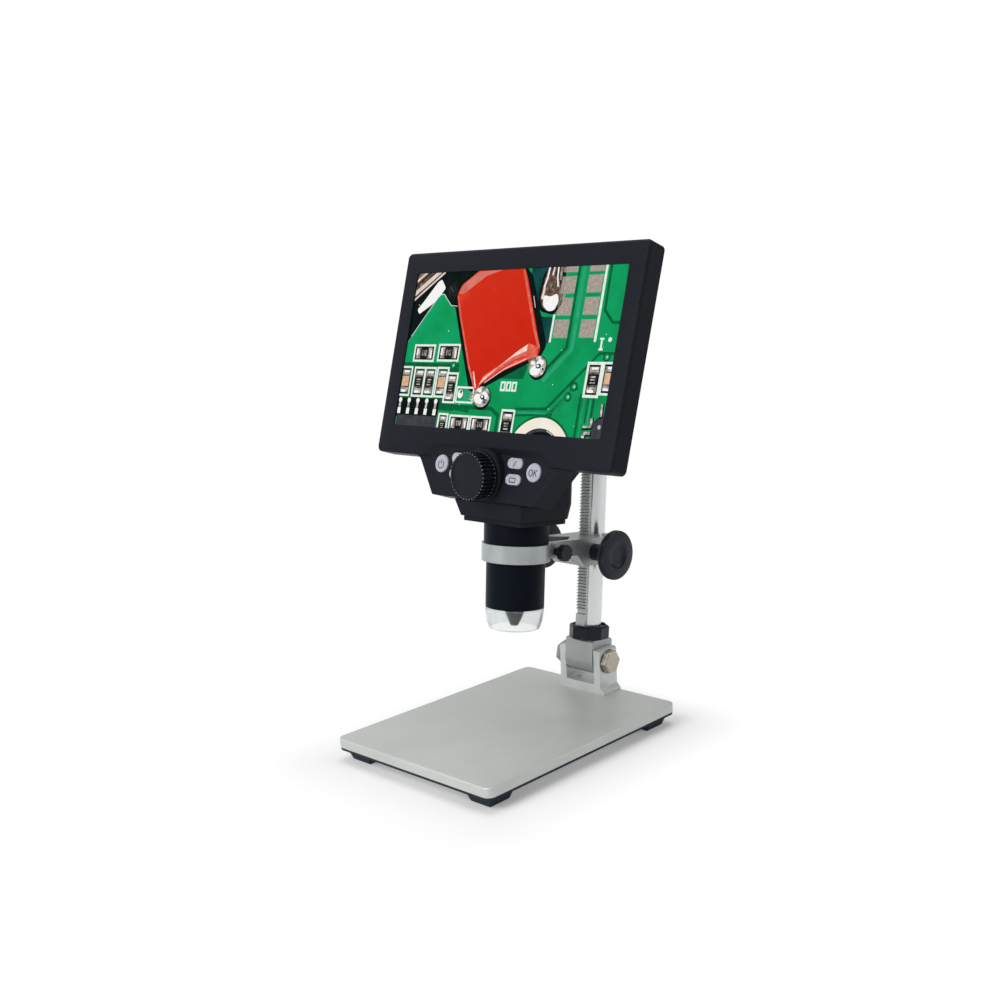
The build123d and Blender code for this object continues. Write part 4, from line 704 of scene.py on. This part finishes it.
# a part with legs in the lower left corner, its bars as paint, middle, size and layer
legged = {"body": (("shadow", -62.0, -33.4, 37, 11, 2), ("chipGrey", -60.6, -41.6, 34, 8.6, 4),
                   ("chipBlack", -60.6, -37.6, 34, 0.6, 5)),
          "legs": 5, "firstLeg": -76.4, "pitch": 7.5,
          "leg": (("endSilver", -33.0, 1.7, 8.0, 4), ("solderWhite", -35.4, 2.5, 3.4, 5)),
          "tip": (-29.2, 1.4, 5), "tipSteps": 14}


def paintLeggedPart(paint):
    for name, x, y, wide, high, layer in legged["body"]:
        bar(paint[name], x, y, wide, high, 0, layer)
    for step in range(legged["legs"]):
        x = legged["firstLeg"] + legged["pitch"] * step
        for name, y, wide, high, layer in legged["leg"]:
            bar(paint[name], x, y, wide, high, 0, layer)
        disc(paint["solderWhite"], x, *legged["tip"], steps=legged["tipSteps"])


# a plated hole at the lower edge, as discs from the lowest up: paint, middle, radius, layer and steps
holeDiscs = [("traceDark", 36.8, -57.5, 24.0, 3, 72), ("ringCream", 36.8, -57.5, 22.8, 4, 72),
             ("chipGrey", 36.8, -57.3, 17.0, 5, 72), ("shadow", 37.6, -58.6, 16.6, 6, 64)]
holeGlint = arcPoints(36.8, -57.3, 16.4, 74, 58, 6)
shadedPart = {"outline": [(70.6, -37), (73, -33.4), (82, -32), (82, -47), (70.6, -47)],
              "dot": (75.8, -37.8, 1.1), "turn": 4, "shade": (0.3, -0.4, 1.2),
              "ends": ((75.4, -29.4, 1.4, 6.4), (67.6, -38.0, 5.6, 1.2), (68, -41.2, 4.6, 1.6),
                       (70, -35.4, 1.6, 4), (66, -43.4, 2, 2))}


def paintLowerEdge(paint):
    for name, x, y, radius, layer, steps in holeDiscs:
        disc(paint[name], x, y, radius, layer, steps=steps)
    stroke(paint["wirePale"], holeGlint, 0.4, 7)
    patch(paint["chipGrey"], shadedPart["outline"], 0.8, 4)
    disc(paint["endSilver"], *shadedPart["dot"], 5)
    turn, (shadeAcross, shadeUp, more) = shadedPart["turn"], shadedPart["shade"]
    for x, y, wide, high in shadedPart["ends"]:
        bar(paint["endSilver"], x, y, wide, high, turn, 5)
        bar(paint["shadow"], x + shadeAcross, y + shadeUp, wide + more, high + more, turn, 4)


plainMarks = {"across": (4.2, 8.4, 12.6), "up": -19.2, "wide": 2.6, "high": 4.2, "line": 1.1}  # no letters
specks = {"count": 90, "across": 77, "up": 43, "small": 0.15, "large": 0.4,
          "paints": ("printWhite", "copperGreen", "traceDark", "traceDark")}


def paintMarksAndSpecks(paint):
    for x in plainMarks["across"]:
        frameLine(paint["printWhite"], x, plainMarks["up"], plainMarks["wide"], plainMarks["high"],
                  plainMarks["line"], 0, 2)
    chance = random.Random(picture["seed"])
    for _ in range(specks["count"]):
        x = chance.uniform(-specks["across"], specks["across"])
        y = chance.uniform(-specks["up"], specks["up"])
        size = chance.uniform(specks["small"], specks["large"])
        disc(paint[chance.choice(specks["paints"])], x, y, size, 1, steps=7)


def paintPicture():
    paint = {name: bmesh.new() for name in pictureLooks if name != "lcd_glass"}
    paintTracks(paint)
    paintPads(paint)
    paintShapes(paint, rimShapes)
    paintBlock(paint)
    paintShapes(paint, wireShapes)
    paintChips(paint)
    paintLeggedPart(paint)
    paintLowerEdge(paint)
    paintMarksAndSpecks(paint)
    for name, work in paint.items():
        onScreen(name, work, name)


paintPicture()
print("picture painted")


# pieces with eased edges

edges = {
    "front_bezel": 0.5, "rear_cover": 0.5, "neck_housing": 0.35, "neck_base": 0.3, "carriage_arm": 0.3,
    "yoke": 0.35, "tilt_block": 0.4, "collar_nut": 0.35, "base_plate": 0.3, "column": 0.3, "rack": 0.06,
    "foot_front_left": 0.35, "foot_front_right": 0.35, "foot_rear_left": 0.35, "foot_rear_right": 0.35,
    "clamp_screw": 0.15, "tilt_bolt": 0.3, "tilt_nut": 0.25, "tilt_washer": 0.2, "lens_tube": 0.1,
    "upper_barrel": 0.3, "lower_barrel": 0.35, "usb_socket": 0.08, "card_slot": 0.08,
    "power_button": 0.2, "ok_button": 0.2, "upper_left_button": 0.2, "lower_left_button": 0.2,
    "upper_right_button": 0.2, "lower_right_button": 0.2,
}
for nodeName, edge in edges.items():
    eased(nodeName, edge)
print("edges eased")


# a dark band under the plate's edge, a painted shadow that stands in for the shade beneath the plate, and the
# pilot lamp

shadowBand = {"outside": 0.3, "wide": 2.4, "tall": 1.5, "corner": 4.0, "cornerPoints": 5}


def addPlateShadowBand():
    low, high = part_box("base_plate")
    inside = shadowBand["outside"] + shadowBand["wide"]
    work = bmesh.new()
    section = ((shadowBand["outside"], 0), (shadowBand["outside"], shadowBand["tall"]), (inside, shadowBand["tall"]), (inside, 0))
    rings = []
    for inset, drop in section:
        straight = (inset + shadowBand["corner"]) * mm
        ring = []
        for side, ahead, start in ((1, 1, 0), (-1, 1, 90), (-1, -1, 180), (1, -1, 270)):
            corner = Vector((side * (high.x - straight), ahead * (high.y - straight), low.z - drop * mm))
            for x, y in arcPoints(0, 0, shadowBand["corner"], start, start + 90, shadowBand["cornerPoints"]):
                ring.append(work.verts.new(corner + Vector((x * mm, y * mm, 0))))
        rings.append(ring)
    for ring, nextRing in zip(rings, rings[1:] + rings[:1]):
        for step in range(len(ring)):
            after = (step + 1) % len(ring)
            work.faces.new((ring[step], ring[after], nextRing[after], nextRing[step]))
    bmesh.ops.recalc_face_normals(work, faces=work.faces)
    # painted shadow: the band is a dark sheet put where there is only the plate's shade on the floor
    placed("plate_shadow_band", work, bodyOf["base_plate"], "black_rubber")


pilot = {"across": 45.5, "up": -65.4, "floor": -2.75, "radius": 1.1, "edge": 0.2, "tall": 0.98}


def addPilotLamp():
    radius, edge, floor = pilot["radius"], pilot["edge"], pilot["floor"]
    top = floor + pilot["tall"]
    work = bmesh.new()
    spun(work, [(0, floor), (radius, floor), (radius, top - edge), (radius - edge, top), (0, top)], 32, False)
    place = screenFace @ Matrix.Translation((pilot["across"] * mm, pilot["up"] * mm, 0))
    placed("pilot_lamp", moved(work, place), "head", "pilotSmoke")


addPlateShadowBand()
addPilotLamp()
print("band and pilot lamp added")


# marks on the keys

markWidth = 0.52
keyMarks = {
    "power_button": [arcPoints(0, -0.3, 2.1, 125, 415, 17), [(0, 0.4), (0, 2.5)]],
    "ok_button": [arcPoints(-1.6, 0, 1.25, 0, 360, 15, 1.35), [(0.75, 1.75), (0.45, -1.75)],
                  [(2.9, 1.75), (0.6, -0.2)], [(1.3, 0.35), (2.7, -1.75)]],
    "upper_right_button": [[(-0.7, -1.5), (0.9, 1.5)]],
    "lower_right_button": [[(-2.0, 1.1), (2.0, 1.1), (2.0, -1.1), (-2.0, -1.1), (-2.0, 1.1)]],
    "upper_left_button": [arcPoints(0, -0.4, 1.5, 20, 250, 9), [(1.4, 0.2), (1.7, 1.5)]],
    "lower_left_button": [[(-2.0, 0.9), (0, -0.9), (2.0, 0.9)]],
}
for keyName, runs in keyMarks.items():
    work = bmesh.new()
    for points in runs:
        stroke(work, points, markWidth)
    keyFace = faceOf(keyName, outOfScreen, right, upScreen)
    laid(keyName + "_mark", work, keyFace, keyName, "keyPrint")
print("keys marked")


# height knobs: a thin disc with a ribbed rim and a shallow dish, on a hub

knob = {"radius": 14.6, "rib": 0.2, "ribs": 96, "start": 26.0, "face": 30.2, "edge": 1.0, "dish": 8.0,
        "dishDepth": 1.5, "dishSteps": 8, "dishPower": 6, "hub": 5.0, "hubStart": 12.35, "hubFlare": 0.6,
        "round": 0.29}


def addKnob(name, side):
    rim, back, front, edge = knob["radius"], knob["start"], knob["face"], knob["edge"]
    flare, cut = knob["hubFlare"], edge * knob["round"]
    profile = [(0, knob["hubStart"]), (knob["hub"], knob["hubStart"]), (knob["hub"], back - flare),
               (knob["hub"] + flare, back), (rim - edge, back), (rim - cut, back + cut), (rim, back + edge),
               (rim, front - edge), (rim - cut, front - cut), (rim - edge, front)]
    for step in range(knob["dishSteps"] + 1):
        share = 1 - step / knob["dishSteps"]
        profile.append((knob["dish"] * share, front - knob["dishDepth"] * (1 - share ** knob["dishPower"])))
    work = bmesh.new()
    spun(work, profile, knob["ribs"] * 2, False)
    halfRib, onRim = math.pi / knob["ribs"], (rim - edge / 2) * mm
    for point in work.verts:
        radius = math.hypot(point.co.x, point.co.y)
        if radius > onRim and round(math.atan2(point.co.y, point.co.x) / halfRib) % 2:
            point.co.x *= 1 - knob["rib"] * mm / radius
            point.co.y *= 1 - knob["rib"] * mm / radius
    outward = right * side
    place = facing(driveMiddle, headUp * side, outward.cross(headUp * side), outward)
    piece = placed(name + "_dressed", moved(work, place), bodyOf[name], "black_plastic")
    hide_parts(name)


addKnob("right_height_knob", 1)
addKnob("left_height_knob", -1)
print("knobs turned")


# focus wheel: a dished disc, a core with ribs, a flange at its back, and pale painted glints at the rib ends

# front and back run out from the barrel's axis towards the viewer
wheel = {"back": 29.2, "length": 10.6, "core": 11.95, "disc": 12.3, "rim": 1.1, "rimSlope": 0.2, "edge": 0.5,
         "round": 0.3, "dish": 11.1, "dishDepth": 0.5, "dishSlope": 0.5, "steps": 128, "radius": 12.85,
         "flange": 1.3, "flangeEdge": 0.25, "ribs": 36, "ribWidth": 1.3, "ribFront": 0.7, "ribRoot": 0.4,
         "ribOverlap": 0.4, "ribRound": 0.3,
         "tips": ({"fromFront": 0.55, "size": 0.36, "radius": 12.42},
                  {"fromFront": 8.9, "size": 0.3, "radius": 12.85})}


def addWheelBody(work, back, front):
    flange, soft, edge = back + wheel["flange"], wheel["flangeEdge"], wheel["edge"]
    cut = edge * wheel["round"]
    rim, floor = front - wheel["rim"], front - wheel["dishDepth"]
    spun(work, [(0, back), (wheel["radius"] - soft, back), (wheel["radius"], back + soft),
                (wheel["radius"], flange - soft), (wheel["radius"] - soft, flange), (wheel["core"], flange),
                (wheel["core"], rim), (wheel["disc"], rim + wheel["rimSlope"]), (wheel["disc"], front - edge),
                (wheel["disc"] - cut, front - cut), (wheel["disc"] - edge, front),
                (wheel["dish"], front), (wheel["dish"] - wheel["dishSlope"], floor), (0, floor)],
         wheel["steps"], False)


def addRib(work, turn, back):
    long = wheel["length"] - wheel["flange"] - wheel["ribFront"]
    deep = wheel["radius"] - wheel["core"] + wheel["ribRoot"]
    middleOfRib = ((wheel["radius"] - deep / 2) * mm, 0, (back + wheel["flange"] + long / 2) * mm)
    place = (turn @ Matrix.Translation(middleOfRib)
             @ Matrix.Diagonal((deep * mm, wheel["ribWidth"] * mm, (long + wheel["ribOverlap"]) * mm, 1)))
    rib = bmesh.ops.create_cube(work, size=1, matrix=place)["verts"]
    sides = list({line for point in rib for line in point.link_edges})
    bmesh.ops.bevel(work, geom=sides, offset=wheel["ribRound"] * mm, segments=3, profile=0.5, material=-1,
                    affect="EDGES")


def addFocusWheel():
    back, front = wheel["back"], wheel["back"] + wheel["length"]
    work, tips = bmesh.new(), bmesh.new()
    addWheelBody(work, back, front)
    for rib in range(wheel["ribs"]):
        turn = Matrix.Rotation(2 * math.pi * rib / wheel["ribs"], 4, "Z")
        addRib(work, turn, back)
        # pale studs at each rib's front and back ends are painted glints, not parts of the wheel
        for tip in wheel["tips"]:
            size = tip["size"] * mm
            place = (turn @ Matrix.Translation((tip["radius"] * mm, 0, (front - tip["fromFront"]) * mm))
                     @ Matrix.Diagonal((size, 2 * size, size, 1)))
            bmesh.ops.create_cube(tips, size=1, matrix=place)
    place = facing(wheelMiddle, right, headUp, -headBack)
    placed("focus_wheel_tips", moved(tips, place), bodyOf["focus_wheel"], "ribTip")
    piece = placed("focus_wheel_dressed", moved(work, place), bodyOf["focus_wheel"], "wheel_plastic")
    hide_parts("focus_wheel")


addFocusWheel()
print("focus wheel built")


# the clear hood: a thin wall that curves in towards the specimen

hood = {"wide": 16.8, "narrow": 14.6, "top": -36.8, "low": -49.0, "wall": 1.3, "groove": 0.6, "curve": 1.8,
        "steps": 12, "lip": 0.4, "insideLip": 0.3, "turns": 128}


def addHood():
    groove, fall = hood["groove"], hood["top"] - hood["groove"] - hood["low"]
    shares = [step / hood["steps"] for step in range(hood["steps"] + 1)]
    outside = [(hood["wide"] - (hood["wide"] - hood["narrow"]) * share ** hood["curve"],
                hood["top"] - groove - fall * share) for share in shares]
    inside = [(radius - hood["wall"], height) for radius, height in reversed(outside[:-1])]
    lip = [(hood["narrow"] - hood["lip"], hood["low"]),
           (hood["narrow"] - hood["wall"], hood["low"] + hood["insideLip"])]
    outside[-1] = (hood["narrow"], hood["low"] + hood["lip"])
    seat = [(hood["wide"] - hood["wall"], hood["top"]), (hood["wide"] - groove, hood["top"]),
            (hood["wide"] - groove, hood["top"] - groove)]
    work = bmesh.new()
    spun(work, seat[1:] + outside + lip + inside + seat[:1], hood["turns"], True)
    piece = placed("clear_hood_dressed", moved(work, barrelAxis), "head", "clear_plastic")
    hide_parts("clear_hood")


addHood()
print("hood turned")

for nodeName, node in frame["nodes"].items():
    node.data.materials.clear()
    node.data.materials.append(finishes[finishOf(nodeName)])
print("finishes given")


# floor, lamps and camera

def seenDirectly(shader):
    # 1 for what the camera, a mirror or clear plastic shows, 0 for light that falls on the object
    seen = (shader.make("LightPath", take="Is Camera Ray") + shader.make("LightPath", take="Is Glossy Ray")
            + shader.make("LightPath", take="Is Transmission Ray"))
    return shader.maths("MINIMUM", seen, 1.0)


# the floor is matt close to the base plate, where the object's shadow lies, and plain white further out
floorLook = {"half": 6.0, "plate": (0.061, 0.079, 10.0), "nearGlow": 0.2, "fade": 0.04,
             "matt": (0.94, 0.94, 0.94, 1)}


def addFloor():
    material, shader = newShader("paleFloor")
    place = shader.make("TexCoord", take="Object")
    outward = shader.make("VectorMath", {"operation": "ABSOLUTE"}, {0: place})
    beyond = shader.make("VectorMath", {"operation": "SUBTRACT"}, {0: outward, 1: floorLook["plate"]})
    clear = shader.make("VectorMath", {"operation": "MAXIMUM"}, {0: beyond, 1: (0, 0, 0)})
    away = shader.make("VectorMath", {"operation": "LENGTH"}, {0: clear}, "Value")
    fade = shader.make("MapRange", None, {
        "Value": away, "From Min": 0.0, "From Max": floorLook["fade"],
        "To Min": floorLook["nearGlow"], "To Max": 1.0})
    matt = shader.make("BsdfDiffuse", None, {"Color": floorLook["matt"]})
    glow = shader.make("Emission", None, {"Color": (1, 1, 1, 1), "Strength": 1.0})
    mixed = shader.make("MixShader", None, {0: seenDirectly(shader) * fade, 1: matt, 2: glow})
    shader.make("OutputMaterial", None, {"Surface": mixed})
    work = bmesh.new()
    bmesh.ops.create_grid(work, x_segments=1, y_segments=1, size=floorLook["half"])
    mesh = bpy.data.meshes.new("floor")
    work.to_mesh(mesh)
    work.free()
    mesh.materials.append(material)
    floor = bpy.data.objects.new("floor", mesh)
    bpy.context.scene.collection.objects.link(floor)


# plain light on the object, white behind it, and a soft gradient for mirrors
sky = {"fill": 0.32, "brightest": (-0.64, -0.6, 0.48), "dark": 0.2, "bright": 1.05, "darkFrom": -0.6,
       "brightTo": 0.8}


def addWorld():
    world = bpy.data.worlds.new("studio")
    bpy.context.scene.world = world
    world.use_nodes = True
    world.node_tree.nodes.clear()
    shader = Wire(world.node_tree)
    towards = shader.make("VectorMath", {"operation": "DOT_PRODUCT"},
                          {0: shader.make("TexCoord"), 1: sky["brightest"]}, "Value")
    glossy = shader.make("MapRange", None, {
        "Value": towards, "From Min": sky["darkFrom"], "From Max": sky["brightTo"],
        "To Min": sky["dark"], "To Max": sky["bright"]})
    inMirrors = shader.make("LightPath", take="Is Glossy Ray")
    seen = shader.maths("MINIMUM", seenDirectly(shader) - inMirrors, 1.0)
    level = sky["fill"] + seen * (1 - sky["fill"]) + inMirrors * (glossy - sky["fill"])
    background = shader.make("Background", None, {"Color": level, "Strength": 1.0})
    shader.make("OutputWorld", None, {"Surface": background})


lamps = {
    "key": {"place": (-0.05, -1.0, 0.72), "size": 0.7, "power": 9.4},
    "top": {"place": (-0.1, 0.1, 1.2), "size": 0.8, "power": 4.0},
    "side": {"place": (0.74, 0.62, 0.4), "size": 0.3, "power": 1.3},
}
lampAim = Vector((0, 0, 0.13))


def addLamps():
    for name, lamp in lamps.items():
        light = bpy.data.lights.new(name, "AREA")
        light.size = lamp["size"]
        light.energy = lamp["power"]
        holder = bpy.data.objects.new(name, light)
        holder.location = lamp["place"]
        holder.rotation_mode = "QUATERNION"
        holder.rotation_quaternion = (lampAim - holder.location).to_track_quat("-Z", "Y")
        bpy.context.scene.collection.objects.link(holder)


view = {"place": (0.45328, -0.45033, 0.25358), "yaw": 40.68, "pitch": 16.61, "roll": -1.83,
        "focal": 1162.8, "frame": 1000, "middle": (594.27, 635.11), "sensor": 36.0,
        "near": 0.01, "far": 20}


def addCamera():
    yaw, pitch, roll = (math.radians(view[name]) for name in ("yaw", "pitch", "roll"))
    ahead = Vector((-math.sin(yaw) * math.cos(pitch), math.cos(yaw) * math.cos(pitch), -math.sin(pitch)))
    level = Vector((math.cos(yaw), math.sin(yaw), 0))
    upright = level.cross(ahead)
    across = math.cos(roll) * level + math.sin(roll) * upright
    up = -math.sin(roll) * level + math.cos(roll) * upright
    lens = bpy.data.cameras.new("camera")
    lens.sensor_width = view["sensor"]
    lens.lens = view["focal"] / view["frame"] * view["sensor"]
    lens.shift_x = 0.5 - view["middle"][0] / view["frame"]
    lens.shift_y = view["middle"][1] / view["frame"] - 0.5
    lens.clip_start = view["near"]
    lens.clip_end = view["far"]
    holder = bpy.data.objects.new("camera", lens)
    holder.matrix_world = facing(Vector(view["place"]), across, up, -ahead)
    bpy.context.scene.collection.objects.link(holder)
    bpy.context.scene.camera = holder


addFloor()
addWorld()
addLamps()
addCamera()
bpy.context.scene.view_settings.view_transform = "Standard"
print("stage set")
